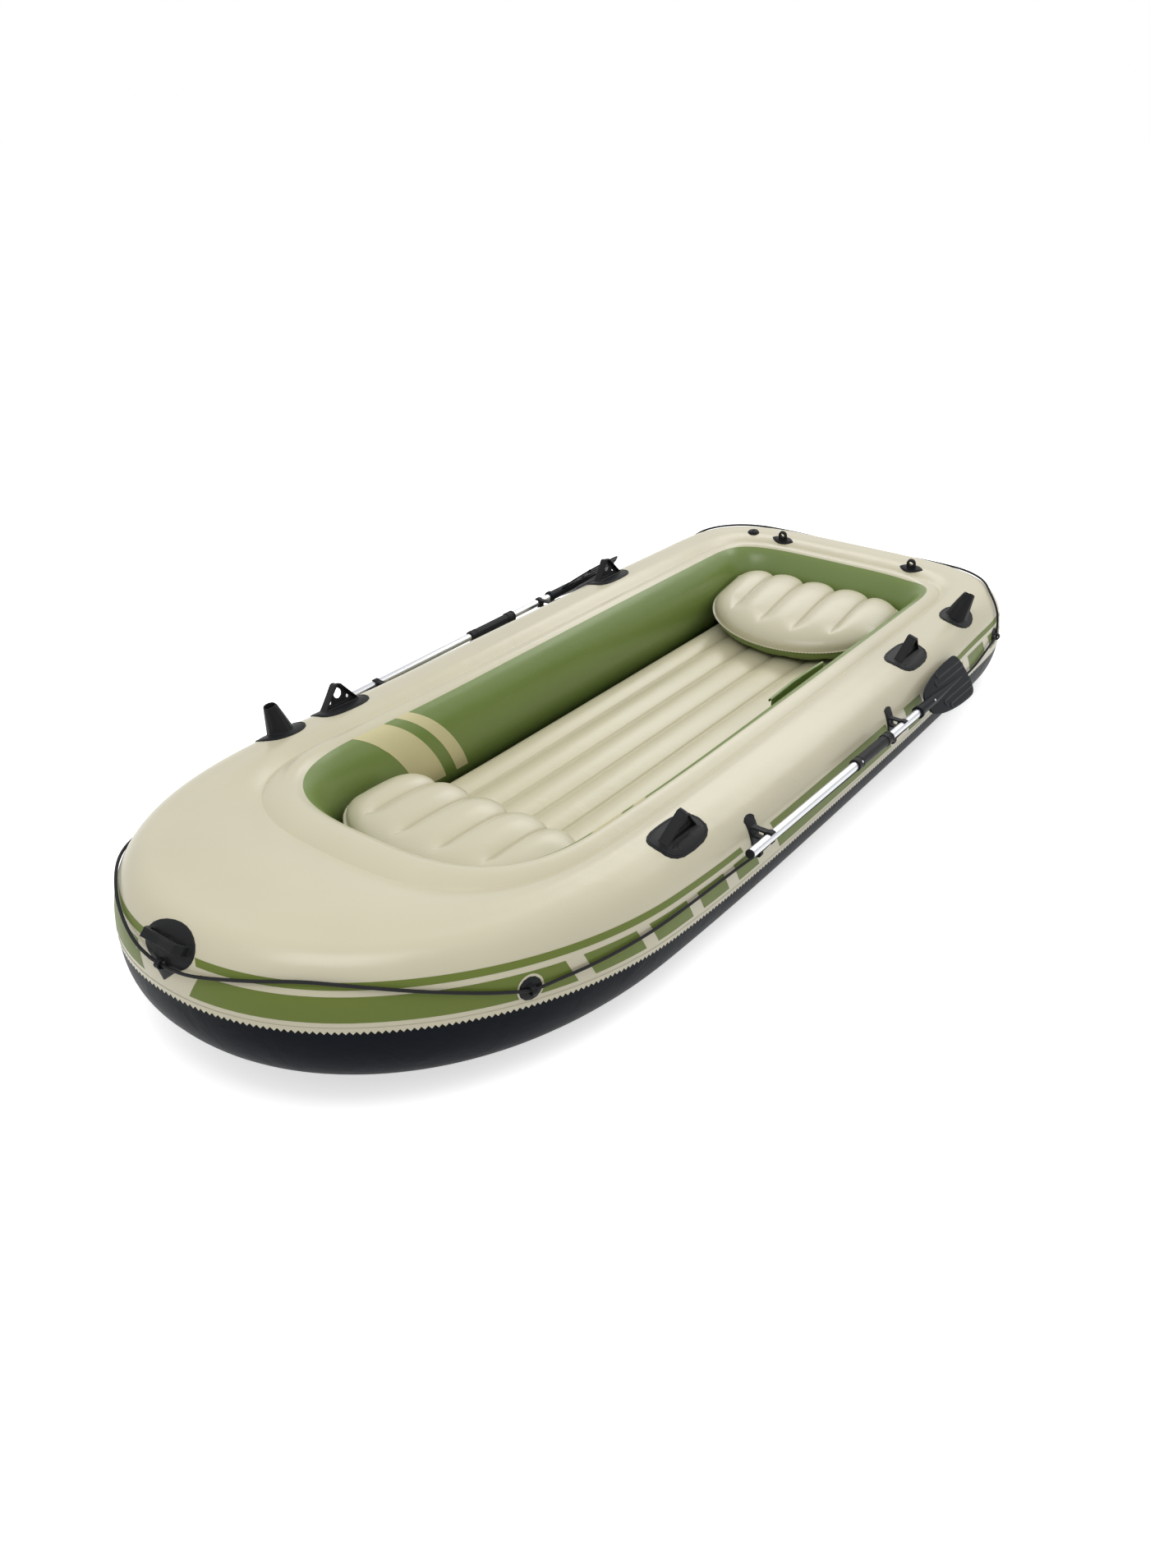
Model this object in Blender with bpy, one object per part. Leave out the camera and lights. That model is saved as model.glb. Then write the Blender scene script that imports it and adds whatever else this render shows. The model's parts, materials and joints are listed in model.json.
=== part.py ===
"""Inflatable dinghy: two air chambers, a channelled floor, two seats, oars and deck fittings.

Metres. +X points to the bow, +Y to port, +Z up. The origin is on the ground, midway along the hull.
"""

import math
from collections import namedtuple

import bmesh
import bpy
from mathutils import Matrix, Vector
from mathutils.bvhtree import BVHTree

PORT = 1
STARBOARD = -1

# Sheet and fits
FILM = 0.0009
CONTACT_GAP = 0.0003
RUNNING_GAP = 0.0004

# Hull, seen from above. Each outline has straight sides, a round bow and a squarer stern.
HULL_LENGTH = 3.48
HULL_BEAM = 1.40
BOW_ROUND = 0.972
BOW_POWER = 2.13
STERN_ROUND = 0.582
STERN_POWER = 3.675
SIDE_BARREL = 0.016
BARREL_SPAN = 1.2
BARREL_CENTRE = -0.195

# Outer chamber, in section
TUBE_HEIGHT = 0.348
TUBE_ROUND = 0.134
TUBE_POWER = 2.4
SEAM_HEIGHT = 0.172
DECK_CROWN = 0.012
CROWN_SPAN = 0.36
BOW_RISE = 0.096
RISE_START = 0.2

# Groove between the chambers
SIDE_TUBE_WIDTH = 0.215
BOW_DECK_LENGTH = 0.492
STERN_DECK_LENGTH = 0.25
GROOVE_DEPTH = 0.023
GROOVE_BOW_ROUND = 0.498
GROOVE_BOW_POWER = 2.8
GROOVE_STERN_ROUND = 0.34
GROOVE_STERN_POWER = 4.3

# Inner chamber: the ring round the cockpit and the wall below it
SIDE_RING_WIDTH = 0.06
BOW_RING_WIDTH = 0.128
STERN_RING_WIDTH = 0.065
COAMING_BOW_ROUND = 0.42
COAMING_BOW_POWER = 3.0
COAMING_STERN_ROUND = 0.275
COAMING_STERN_POWER = 4.5
CREST_SHARE = 0.6
CREST_DROP = 0.003
WALL_BULGE = 0.063
WALL_POWER = 2.0

# Floor chamber
FLOOR_CHANNELS = 6
FLOOR_TOP = 0.110
FLOOR_VALLEY = 0.088
FLOOR_RIM = 0.050
FLOOR_UNDERSIDE = 0.007
FLOOR_SIDE_GAP = 0.012
FLOOR_END_GAP = 0.020
FLOOR_END_ROUND = 0.09
FLOOR_END_ROWS = (0.0, 0.13, 0.45, 1.0)
WEB_END_INSET = 0.20
WEB_CLEARANCE = 0.003

# Seats
SEAT_LOBES = 5
SEAT_SIDE_GAP = 0.022
SEAT_LOBE_LENGTH = 0.195
FRONT_SEAT_NOSE = 0.20
REAR_SEAT_NOSE = 0.26
FRONT_SEAT_GAP = 0.027
REAR_SEAT_GAP = 0.010
FRONT_SEAT_TILT = -1.5
REAR_SEAT_TILT = 11.0
SEAT_CROWN = 0.064
SEAT_BELLY = 0.083
SEAT_LOBE_BULGE = 0.04
SEAT_CORNER = 0.05
SEAT_CORNER_POWER = 6.0
SEAT_SEAM_DEPTH = 0.42
SEAT_SEAM_SHARE = 0.70
SEAT_SEAM_FADE = 0.20
SEAT_PROFILE_POWER = 2.6
SEAT_EDGE_POWER = 5.0
SEAT_REST_GAP = 0.001

# Fittings on the deck
PATCH_THICKNESS = 0.004
PATCH_EDGE = 0.0024
PATCH_SINK = 0.012
FOOT_SINK = 0.009
OARLOCK_FORE_X = 0.642
OARLOCK_AFT_X = -0.74
OARLOCK_INSET = 0.10
OARLOCK_BASE = (0.100, 0.056)
OARLOCK_BASE_POWER = 2.9
OARLOCK_HALF_LENGTH = 0.080
OARLOCK_HEIGHT = 0.072
OARLOCK_APEX_RADIUS = 0.017
OARLOCK_FLANGE = 0.030
OARLOCK_RIM = 0.006
OARLOCK_POCKET_INSET = 0.0192
OARLOCK_ARC_TRIM = 8.0
OARLOCK_WEB = 0.006
OARLOCK_HOLE_RADIUS = 0.0165
OARLOCK_HOLE_HEIGHT = 0.041
OARLOCK_SIDE_HOLE_RADIUS = 0.0065
OARLOCK_SIDE_HOLE_X = 0.035
OARLOCK_SIDE_HOLE_HEIGHT = 0.021
ROD_HOLDER_STARBOARD_X = 0.874
ROD_HOLDER_PORT_X = -1.17
ROD_HOLDER_INSET = 0.10
ROD_HOLDER_BASE = (0.082, 0.056)
ROD_HOLDER_BASE_POWER = 2.2
ROD_HOLDER_PORT_TILT = (7.0, 14.0)
ROD_HOLDER_STARBOARD_TILT = (-5.0, -10.0)
ROD_HOLDER_HEIGHT = 0.085
ROD_HOLDER_FOOT = 0.042
ROD_HOLDER_WALL = 0.0035
ROD_SOCKET_RADIUS = 0.0165
ROD_SOCKET_FLOOR = 0.010
MOTOR_LUG_INSET = 0.22
MOTOR_LUG_Y = 0.278
MOTOR_LUG_BASE = (0.047, 0.025)
MOTOR_LUG_HEIGHT = 0.040
MOTOR_LUG_WALL = 0.0075
MOTOR_LUG_HOLE = 0.0095
MOTOR_LUG_THICKNESS = 0.012

# Bow fitting, rope grommets and rope
BOW_FITTING_DROP = 0.057
BOW_DISC = (0.080, 0.052)
BOW_TIP = 0.027
BOW_TIP_WIDTH = 0.30
BAR_HALF_LENGTH = 0.064
BAR_WIDTH = 0.022
BAR_CLEARANCE = 0.020
BAR_THICKNESS = 0.012
BAR_OFFSET = 0.006
EYE_OFFSET = -0.047
GROMMET_BOW_INSET = 0.498
GROMMET_STERN_INSET = 0.380
GROMMET_FORE_DROP = 0.090
GROMMET_AFT_DROP = 0.128
GROMMET_RADIUS = 0.030
LOOP_WIDTH = 0.014
ROPE_RADIUS = 0.004
ROPE_BOW_HEIGHTS = ((1.718, 0.367), (1.65, 0.380), (1.55, 0.357), (1.42, 0.317))
ROPE_LOW_HEIGHT = (-1.14, 0.178)
ROPE_CORNER_HEIGHTS = ((-1.425, 0.283), (-1.455, 0.318), (-1.50, 0.335), (-1.69, 0.335))
ROPE_STERN_HEIGHTS = ((-1.737, 0.318), (-1.74, 0.310))
ROPE_HULL_GAP = 0.0025
ROPE_PAD_GAP = 0.0025
ROPE_LOOP_REACH = 0.03
ROPE_CLEARANCE = 0.001
ROPE_CLEAR_ROUNDS = 4
ROPE_END_GAP = 0.001
LOOP_CLEARANCE = 0.0032
LOOP_WALL = 0.0045

# Oars and their clips. The two oars don't lie quite alike.
OAR_STANDOFF = 0.035
OAR_DROPS = {PORT: 0.086, STARBOARD: 0.064}
OAR_SLOPES = {PORT: 0.022, STARBOARD: -0.015}
TUBE_RADIUS = 0.013
TUBE_WALL = 0.0012
GRIP_END = 0.510
GRIP_CAP_LENGTH = 0.005
GRIP_PLUG_LENGTH = 0.020
GRIP_CHAMFER = 0.0014
CONNECTOR_FORE = -0.100
CONNECTOR_AFT = -0.335
CONNECTOR_COLLAR = 0.036
CONNECTOR_BARREL_WALL = 0.0025
CONNECTOR_COLLAR_WALL = 0.0052
CONNECTOR_RIB = 0.0012
CONNECTOR_RIBS = 2
CONNECTOR_RIB_SHARE = 0.30
BLADE_COLLAR_X = -0.550
BLADE_COLLAR_LENGTH = 0.016
BLADE_COLLAR_WALL = 0.0072
BLADE_NECK_WALL = 0.0035
BLADE_SOCKET_END = -0.680
BLADE_SHOULDER = -0.625
BLADE_TIP = -0.955
BLADE_HALF_WIDTH = 0.075
BLADE_NECK_HALF_WIDTH = 0.020
BLADE_WIDEST = 0.80
BLADE_SWELL_POWER = 0.45
BLADE_TIP_POWER = 4.0
BLADE_THICKNESS = 0.006
BLADE_SPINE_END = -0.915
BLADE_SPINE_TIP_RADIUS = 0.004
BLADE_RIB_OFFSET = 0.040
BLADE_RIB_INSET = 0.020
BLADE_RIB_HEIGHT = 0.0025
BLADE_RIB_WIDTH = 0.006
BLADE_TILT = 37.4
BUTTON_RADIUS = 0.0038
BUTTON_PROUD = 0.0022
BUTTON_DEPTH = 0.0105
BUTTON_CHAMFER = 0.0011
BLADE_BUTTON_INSET = 0.025
CLIP_PLACES = {PORT: (0.400, -0.440), STARBOARD: (0.360, -0.490)}
CLIP_BASE = (0.021, 0.060)
CLIP_BASE_POWER = 2.0
CLIP_BASE_DROP = 0.014
CLIP_EYE_DROP = 0.062
CLIP_WIDTH = 0.020
CLIP_JAW = 0.0045
CLIP_MOUTH = 52.0
CLIP_LEG = 0.0055
CLIP_LEG_ANGLE = 54.0

# Valves and pouch
VALVE_FLANGE = 0.009
VALVE_HEIGHT = 0.007
VALVE_CAP_RADIUS = 0.0150
VALVE_CAP_FLOOR = 0.002
VALVE_CAP_HEIGHT = 0.008
VALVE_CAP_GAP = 0.0012
VALVE_BAR = (0.010, 0.0022)
VALVE_BAR_POWER = 4.0
VALVE_BAR_HEIGHT = 0.0035
OUTER_VALVE_INSET = 0.225
OUTER_VALVE_Y = -0.412
INNER_VALVE_X = -0.80
INNER_VALVE_DROP = 0.093
FLOOR_VALVE_X = 0.10
SEAT_VALVE_RADIUS = 0.014
SEAT_VALVE_INSET = 0.10
POUCH_FORE = -0.350
POUCH_AFT = -0.714
POUCH_DROP = 0.098
POUCH_HEIGHT = 0.118
POUCH_DEPTH = 0.034
POUCH_SHEET = 0.0015
POUCH_WALL_GAP = 0.0024
POUCH_CUFF = 0.006
POUCH_CUFF_TURN = 250.0
STUD_FORE_X = -0.333
STUD_AFT_X = -0.752
STUD_DROP = 0.098
STUD_RADIUS = 0.013
STUD_KNOB_RADIUS = 0.0091
STUD_HEIGHT = 0.010

# Fineness of the meshes
BOW_STEPS = 18
STERN_STEPS = 14
SIDE_STEPS = 4
TUBE_STEPS = 4
DECK_STEPS = 3
BELLY_STEPS = 4
RING_STEPS = 2
WALL_STEPS = 5
CHANNEL_STEPS = 4
FLOOR_STEPS = 4
WEB_STEPS = 8
LOBE_STEPS = 4
SEAT_TOP_ROWS = (0.0, 0.03, 0.11, 0.28, 0.50, 0.64, 0.82, 0.95, 1.0)
SEAT_LOW_ROWS = (0.0, 0.06, 0.25, 0.60, 0.88, 1.0)
ROPE_BOW_STEPS = 10
ROPE_SIDE_STEPS = 5
ROPE_STERN_STEPS = 16
ROPE_PROBES = (0.25, 0.5, 0.75)
BLADE_STEPS = 8
ROUND_SIDES = 12
ARC_SIDES = 8
BOW_DISC_SIDES = 24
PATCH_ROWS = ((0.4, PATCH_THICKNESS), (0.75, PATCH_THICKNESS), (1.0, PATCH_EDGE))
PAD_SIDES = 20
SMOOTH_BELOW = 35.0
CUT_MARGIN = 0.02
PATCH_REACH = 0.08
OFF_TURN = Matrix.Rotation(math.radians(6), 4, "Z")

Plan = namedtuple("Plan", "half bow_x bow_end bow_power stern_x stern_end stern_power")
Section = namedtuple("Section", "outer groove crest coaming across inward ring bulge")


def plan(half, bow_end, bow_round, bow_power, stern_end, stern_round, stern_power):
    bow_x = bow_end - bow_round
    stern_x = stern_end + stern_round
    return Plan(half, bow_x, bow_end, bow_power, stern_x, stern_end, stern_power)


GROOVE_HALF = HULL_BEAM / 2 - SIDE_TUBE_WIDTH
GROOVE_BOW = HULL_LENGTH / 2 - BOW_DECK_LENGTH
GROOVE_STERN = -HULL_LENGTH / 2 + STERN_DECK_LENGTH
COAMING_HALF = GROOVE_HALF - SIDE_RING_WIDTH
COAMING_BOW = GROOVE_BOW - BOW_RING_WIDTH
COAMING_STERN = GROOVE_STERN + STERN_RING_WIDTH
FLOOR_HALF = COAMING_HALF - WALL_BULGE - FLOOR_SIDE_GAP
FLOOR_BOW = COAMING_BOW - WALL_BULGE - FLOOR_END_GAP
FLOOR_STERN = COAMING_STERN + WALL_BULGE + FLOOR_END_GAP
CHANNEL_PITCH = 2 * FLOOR_HALF / FLOOR_CHANNELS
SEAT_HALF = COAMING_HALF - WALL_BULGE - SEAT_SIDE_GAP
LOBE_PITCH = 2 * SEAT_HALF / SEAT_LOBES
INNER_BOTTOM = FILM + CONTACT_GAP
OARLOCK_Y = HULL_BEAM / 2 - OARLOCK_INSET
ROD_HOLDER_Y = HULL_BEAM / 2 - ROD_HOLDER_INSET
ROD_HOLDER_RIM = ROD_SOCKET_RADIUS + ROD_HOLDER_WALL
MOTOR_LUG_X = -HULL_LENGTH / 2 + MOTOR_LUG_INSET
MOTOR_LUG_RADIUS = MOTOR_LUG_HOLE + MOTOR_LUG_WALL
BOW_FITTING_Z = TUBE_HEIGHT + BOW_RISE - BOW_FITTING_DROP
GROMMET_FORE_X = HULL_LENGTH / 2 - GROMMET_BOW_INSET
GROMMET_AFT_X = -HULL_LENGTH / 2 + GROMMET_STERN_INSET
GROMMET_FORE = (GROMMET_FORE_X, TUBE_HEIGHT - GROMMET_FORE_DROP)
GROMMET_AFT = (GROMMET_AFT_X, TUBE_HEIGHT - GROMMET_AFT_DROP)
ROPE_LIFT = ROPE_RADIUS + ROPE_HULL_GAP
ROPE_LOOP_LIFT = PATCH_THICKNESS + ROPE_RADIUS + ROPE_PAD_GAP
OAR_Y = HULL_BEAM / 2 + OAR_STANDOFF
SOCKET_RADIUS = TUBE_RADIUS + CONTACT_GAP
CONNECTOR_BARREL_RADIUS = SOCKET_RADIUS + CONNECTOR_BARREL_WALL
CONNECTOR_COLLAR_RADIUS = SOCKET_RADIUS + CONNECTOR_COLLAR_WALL
CONNECTOR_BUTTON_X = CONNECTOR_FORE - CONNECTOR_COLLAR / 2
BLADE_COLLAR_RADIUS = SOCKET_RADIUS + BLADE_COLLAR_WALL
BLADE_NECK_RADIUS = SOCKET_RADIUS + BLADE_NECK_WALL
BLADE_BUTTON_X = BLADE_SOCKET_END + BLADE_BUTTON_INSET
BLADE_RIB_END = BLADE_TIP + BLADE_RIB_INSET
VALVE_RADIUS = VALVE_CAP_RADIUS + VALVE_FLANGE
OUTER_VALVE_X = -HULL_LENGTH / 2 + OUTER_VALVE_INSET
INNER_VALVE_Z = TUBE_HEIGHT - INNER_VALVE_DROP
POUCH_TOP = TUBE_HEIGHT - POUCH_DROP
POUCH_BOTTOM = POUCH_TOP - POUCH_HEIGHT
STUD_Z = TUBE_HEIGHT - STUD_DROP
RING_TOP = TUBE_HEIGHT - CREST_DROP
GROOVE_FLOOR = TUBE_HEIGHT - GROOVE_DEPTH

OUTER_PLAN = plan(
    HULL_BEAM / 2, HULL_LENGTH / 2, BOW_ROUND, BOW_POWER, -HULL_LENGTH / 2, STERN_ROUND, STERN_POWER
)
GROOVE_PLAN = plan(
    GROOVE_HALF, GROOVE_BOW, GROOVE_BOW_ROUND, GROOVE_BOW_POWER,
    GROOVE_STERN, GROOVE_STERN_ROUND, GROOVE_STERN_POWER,
)
COAMING_PLAN = plan(
    COAMING_HALF, COAMING_BOW, COAMING_BOW_ROUND, COAMING_BOW_POWER,
    COAMING_STERN, COAMING_STERN_ROUND, COAMING_STERN_POWER,
)
FLOOR_PLAN = plan(
    FLOOR_HALF, FLOOR_BOW, COAMING_BOW_ROUND - WALL_BULGE, COAMING_BOW_POWER,
    FLOOR_STERN, COAMING_STERN_ROUND - WALL_BULGE, COAMING_STERN_POWER,
)


# Plan and section of the hull


def hull_rise(x):
    """How far the bow lifts everything at this place along the hull."""
    share = max(0.0, (x - RISE_START) / (HULL_LENGTH / 2 - RISE_START))
    return BOW_RISE * share**2


def signed_power(value, power):
    return math.copysign(abs(value) ** (2 / power), value)


def plan_point(outline, station):
    kind, value = station
    if kind == "bow":
        reach = signed_power(math.sin(value), outline.bow_power)
        x = outline.bow_x + (outline.bow_end - outline.bow_x) * reach
        y = outline.half * signed_power(math.cos(value), outline.bow_power)
    elif kind == "stern":
        reach = signed_power(math.sin(value), outline.stern_power)
        x = outline.stern_x - (outline.stern_end - outline.stern_x) * reach
        y = outline.half * signed_power(math.cos(value), outline.stern_power)
    else:
        x = outline.bow_x + (outline.stern_x - outline.bow_x) * value
        y = outline.half if kind == "port" else -outline.half
    return Vector((x, y * (1 - SIDE_BARREL * ((x - BARREL_CENTRE) / BARREL_SPAN) ** 2)))


def hull_stations(bow_steps, side_steps, stern_steps):
    """Places round the hull: port shoulder, bow, starboard, stern and back along the port side."""
    places = [("bow", math.pi * i / bow_steps) for i in range(bow_steps + 1)]
    places += [("starboard", i / side_steps) for i in range(1, side_steps)]
    places += [("stern", math.pi * (1 + i / stern_steps)) for i in range(stern_steps + 1)]
    places += [("port", 1 - i / side_steps) for i in range(1, side_steps)]
    return places


def section_at(station):
    outer = plan_point(OUTER_PLAN, station)
    groove = plan_point(GROOVE_PLAN, station)
    coaming = plan_point(COAMING_PLAN, station)
    crest = groove.lerp(coaming, CREST_SHARE)
    return Section(
        outer,
        groove,
        crest,
        coaming,
        (groove - outer).normalized(),
        (coaming - groove).normalized(),
        (crest - groove).length,
        (coaming - crest).length + WALL_BULGE,
    )


def lifted(flat, z):
    return Vector((flat.x, flat.y, z + hull_rise(flat.x)))


def tube_point(section, angle, shift=0.0):
    """On the outer chamber: angle -90 is underneath, 0 outermost, 90 on top."""
    inset = TUBE_ROUND * (1 - signed_power(math.cos(angle), TUBE_POWER))
    z = TUBE_HEIGHT / 2 * (1 + signed_power(math.sin(angle), TUBE_POWER))
    return lifted(section.outer + section.across * inset, z + shift)


def deck_point(section, share, shift=0.0):
    """Between the top of the outer chamber and the groove."""
    span = (section.groove - section.outer).length - TUBE_ROUND
    drop = GROOVE_DEPTH * (1 - math.sqrt(1 - share**2))
    crown = DECK_CROWN * math.sin(math.pi * share) * min(1.0, span / CROWN_SPAN)
    flat = section.outer + section.across * (TUBE_ROUND + span * share - shift)
    return lifted(flat, TUBE_HEIGHT - drop + crown)


def ring_point(section, angle):
    """On the inner ring: angle 0 is in the groove, 90 on the crest."""
    flat = section.crest - section.inward * section.ring * math.cos(angle)
    return lifted(flat, GROOVE_FLOOR + (RING_TOP - GROOVE_FLOOR) * math.sin(angle))


def wall_point(section, angle, shift=0.0):
    """On the inner chamber's cockpit side: angle 90 is on the crest, -90 at the bottom."""
    reach = section.bulge * signed_power(math.cos(angle), WALL_POWER) + shift
    rise = (1 + signed_power(math.sin(angle), WALL_POWER)) / 2
    return lifted(section.crest + section.inward * reach, INNER_BOTTOM + (RING_TOP - INNER_BOTTOM) * rise)


def coaming_angle(section):
    share = (section.coaming - section.crest).length / section.bulge
    return math.acos(share ** (WALL_POWER / 2))


def seam_angle():
    level = 2 * SEAM_HEIGHT / TUBE_HEIGHT - 1
    return math.asin(math.copysign(abs(level) ** (TUBE_POWER / 2), level))


def spread(low, high, steps):
    return [low + (high - low) * i / steps for i in range(steps + 1)]


# Meshes


def clear_scene():
    for item in list(bpy.data.objects):
        bpy.data.objects.remove(item, do_unlink=True)


def material(name, colour, roughness, metallic=0.0):
    made = bpy.data.materials.new(name)
    made.use_nodes = True
    shader = made.node_tree.nodes["Principled BSDF"]
    shader.inputs["Base Color"].default_value = (*colour, 1.0)
    shader.inputs["Roughness"].default_value = roughness
    shader.inputs["Metallic"].default_value = metallic
    return made


def mesh_object(name, points, faces, surface=None, parent=None):
    mesh = bpy.data.meshes.new(name)
    mesh.from_pydata([tuple(p) for p in points], [], faces)
    mesh.update()
    made = bpy.data.objects.new(name, mesh)
    bpy.context.scene.collection.objects.link(made)
    made.parent = parent
    if surface:
        finish(made, surface)
    return made


def finish(made, surface):
    made.data.materials.clear()
    made.data.materials.append(surface)
    made.data.shade_smooth()
    made.data.set_sharp_from_angle(angle=math.radians(SMOOTH_BELOW))
    return made


def face_out(made):
    work = bmesh.new()
    work.from_mesh(made.data)
    bmesh.ops.recalc_face_normals(work, faces=work.faces)
    work.to_mesh(made.data)
    work.free()
    return made


def empty(name, frame):
    made = bpy.data.objects.new(name, None)
    bpy.context.scene.collection.objects.link(made)
    made.matrix_world = frame
    bpy.context.view_layer.update()
    return made


def grid_faces(rows, columns, closed=False, flip=False):
    """Triangles over rows of points. A closed grid joins its last column to its first."""
    faces = []
    for i in range(rows - 1):
        for j in range(columns if closed else columns - 1):
            a = i * columns + j
            b = i * columns + (j + 1) % columns
            c = a + columns
            d = b + columns
            faces += [(a, c, d), (a, d, b)]
    return [face[::-1] for face in faces] if flip else faces


def vertex_normals(points, faces):
    normals = [Vector() for _ in points]
    for face in faces:
        a, b, c = (points[i] for i in face)
        area = (b - a).cross(c - a)
        for i in face:
            normals[i] += area
    return [n.normalized() for n in normals]


def shell(name, points, faces, surface, level=(), upright=(), film=FILM, parent=None):
    """A sheet one film thick behind this surface. Its edge is square to the film where it is listed."""
    normals = vertex_normals(points, faces)
    for i in level:
        normals[i] = Vector((normals[i].x, normals[i].y, 0)).normalized()
    for i in upright:
        normals[i] = Vector((0, 0, normals[i].z)).normalized()
    count = len(points)
    inner = [p - n * film for p, n in zip(points, normals)]
    edges = {}
    for face in faces:
        for a, b in zip(face, face[1:] + face[:1]):
            edges[(a, b)] = edges.get((b, a)) is None
            if (b, a) in edges:
                edges[(b, a)] = False
    rim = []
    for (a, b), single in edges.items():
        if single:
            rim += [(b, a, a + count), (b, a + count, b + count)]
    back = [tuple(i + count for i in face[::-1]) for face in faces]
    return mesh_object(name, points + inner, faces + back + rim, surface, parent)


def ring_rows(rings):
    return [p for ring in rings for p in ring]


def row_indices(row, columns):
    return range(row * columns, (row + 1) * columns)


def grid_border(rows, columns):
    return [
        i * columns + j
        for i in range(rows)
        for j in range(columns)
        if i in (0, rows - 1) or j in (0, columns - 1)
    ]


def replace_mesh(made):
    graph = bpy.context.evaluated_depsgraph_get()
    mesh = bpy.data.meshes.new_from_object(made.evaluated_get(graph))
    made.modifiers.clear()
    made.data = mesh
    return made


def combine(made, tool, operation, keep=False):
    step = made.modifiers.new(operation.lower(), "BOOLEAN")
    step.operation = operation
    step.solver = "EXACT"
    step.object = tool
    replace_mesh(made)
    if not keep:
        bpy.data.objects.remove(tool, do_unlink=True)
    return made


def prism(frame, outline, axis, low, high):
    """An outline in two of the frame's axes, pulled along the third from low to high."""
    order = {"u": (2, 0, 1), "v": (0, 2, 1), "n": (0, 1, 2)}[axis]
    points = []
    for depth in (low, high):
        for first, second in outline:
            local = (first, second, depth)
            points.append(frame @ Vector((local[order[0]], local[order[1]], local[order[2]])))
    count = len(outline)
    faces = [tuple(range(count)), tuple(range(2 * count - 1, count - 1, -1))]
    for i in range(count):
        after = (i + 1) % count
        faces.append((i, i + count, after + count, after))
    return face_out(mesh_object("prism", points, faces))


def circle(radius, sides=ROUND_SIDES, centre=(0.0, 0.0), start=0.0, end=360.0):
    """Points of a whole circle, or of an arc with both its ends."""
    whole = end - start >= 360.0
    steps = sides if whole else sides - 1
    angles = [math.radians(start + (end - start) * i / steps) for i in range(sides)]
    return [(centre[0] + radius * math.cos(a), centre[1] + radius * math.sin(a)) for a in angles]


def oval(half_length, half_width, power, sides=PAD_SIDES):
    angles = [2 * math.pi * i / sides for i in range(sides)]
    return [
        (half_length * signed_power(math.cos(a), power), half_width * signed_power(math.sin(a), power))
        for a in angles
    ]


def turned(name, profile, surface, parent=None, sides=ROUND_SIDES):
    """A closed profile of (x, radius) turned about the local X axis."""
    points = []
    for x, radius in profile:
        for i in range(sides):
            angle = 2 * math.pi * i / sides
            points.append(Vector((x, radius * math.cos(angle), radius * math.sin(angle))))
    count = len(profile)
    faces = []
    for k in range(count):
        for i in range(sides):
            a = k * sides + i
            b = k * sides + (i + 1) % sides
            c = (k + 1) % count * sides + i
            d = (k + 1) % count * sides + (i + 1) % sides
            faces.append((a, b, d, c))
    made = face_out(mesh_object(name, points, faces, parent=parent))
    return finish(made, surface)


def capped(name, profile, surface, parent=None, sides=ROUND_SIDES):
    """A profile of (x, radius) turned about the local X axis, with a flat cap at both ends."""
    points = []
    for x, radius in profile:
        for i in range(sides):
            angle = 2 * math.pi * i / sides
            points.append(Vector((x, radius * math.cos(angle), radius * math.sin(angle))))
    faces = [tuple(range(sides)), tuple(range(len(points) - sides, len(points)))]
    for k in range(len(profile) - 1):
        for i in range(sides):
            a = k * sides + i
            b = k * sides + (i + 1) % sides
            faces.append((a, b, b + sides, a + sides))
    made = face_out(mesh_object(name, points, faces, parent=parent))
    return finish(made, surface)


# Hull skins


def hull_rings(sections):
    """The rings of points that the skins and the fittings' contact surface share."""
    seam = seam_angle()
    belly = [[tube_point(s, a) for s in sections] for a in spread(-math.pi / 2, seam, BELLY_STEPS)]
    tube = [[tube_point(s, a) for s in sections] for a in spread(seam, math.pi / 2, TUBE_STEPS)]
    shares = [math.sin(a) for a in spread(0, math.pi / 2, DECK_STEPS)][1:]
    deck = [[deck_point(s, share) for s in sections] for share in shares]
    ring = [[ring_point(s, a) for s in sections] for a in spread(0, math.pi / 2, RING_STEPS)]
    wall = []
    for share in spread(0, 1, WALL_STEPS):
        wall.append([wall_point(s, coaming_angle(s) * (1 - share) - math.pi / 2 * share) for s in sections])
    return belly, tube, deck, ring, wall


def contact_surface(rings, count):
    """The hull's whole outer face, one contact gap out, closed round each section."""
    belly, tube, deck, ring, wall = rings
    loop = belly + tube[1:] + deck + ring[1:] + wall
    points = ring_rows(loop)
    faces = grid_faces(len(loop) + 1, count, closed=True)
    faces = [tuple(i % len(points) for i in face) for face in faces]
    normals = vertex_normals(points, faces)
    return [p + n * CONTACT_GAP for p, n in zip(points, normals)], faces


def bottom_fill(first, count):
    """Triangles across the ring that starts at this index, from the bow tip to the stern tip."""
    tip = BOW_STEPS // 2
    half = count // 2
    port = [first + (tip - i) % count for i in range(half + 1)]
    starboard = [first + (tip + i) % count for i in range(half + 1)]
    faces = [(port[0], starboard[1], port[1])]
    for i in range(1, half - 1):
        faces += [(port[i], starboard[i], starboard[i + 1]), (port[i], starboard[i + 1], port[i + 1])]
    faces.append((port[half - 1], starboard[half - 1], port[half]))
    return faces


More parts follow.
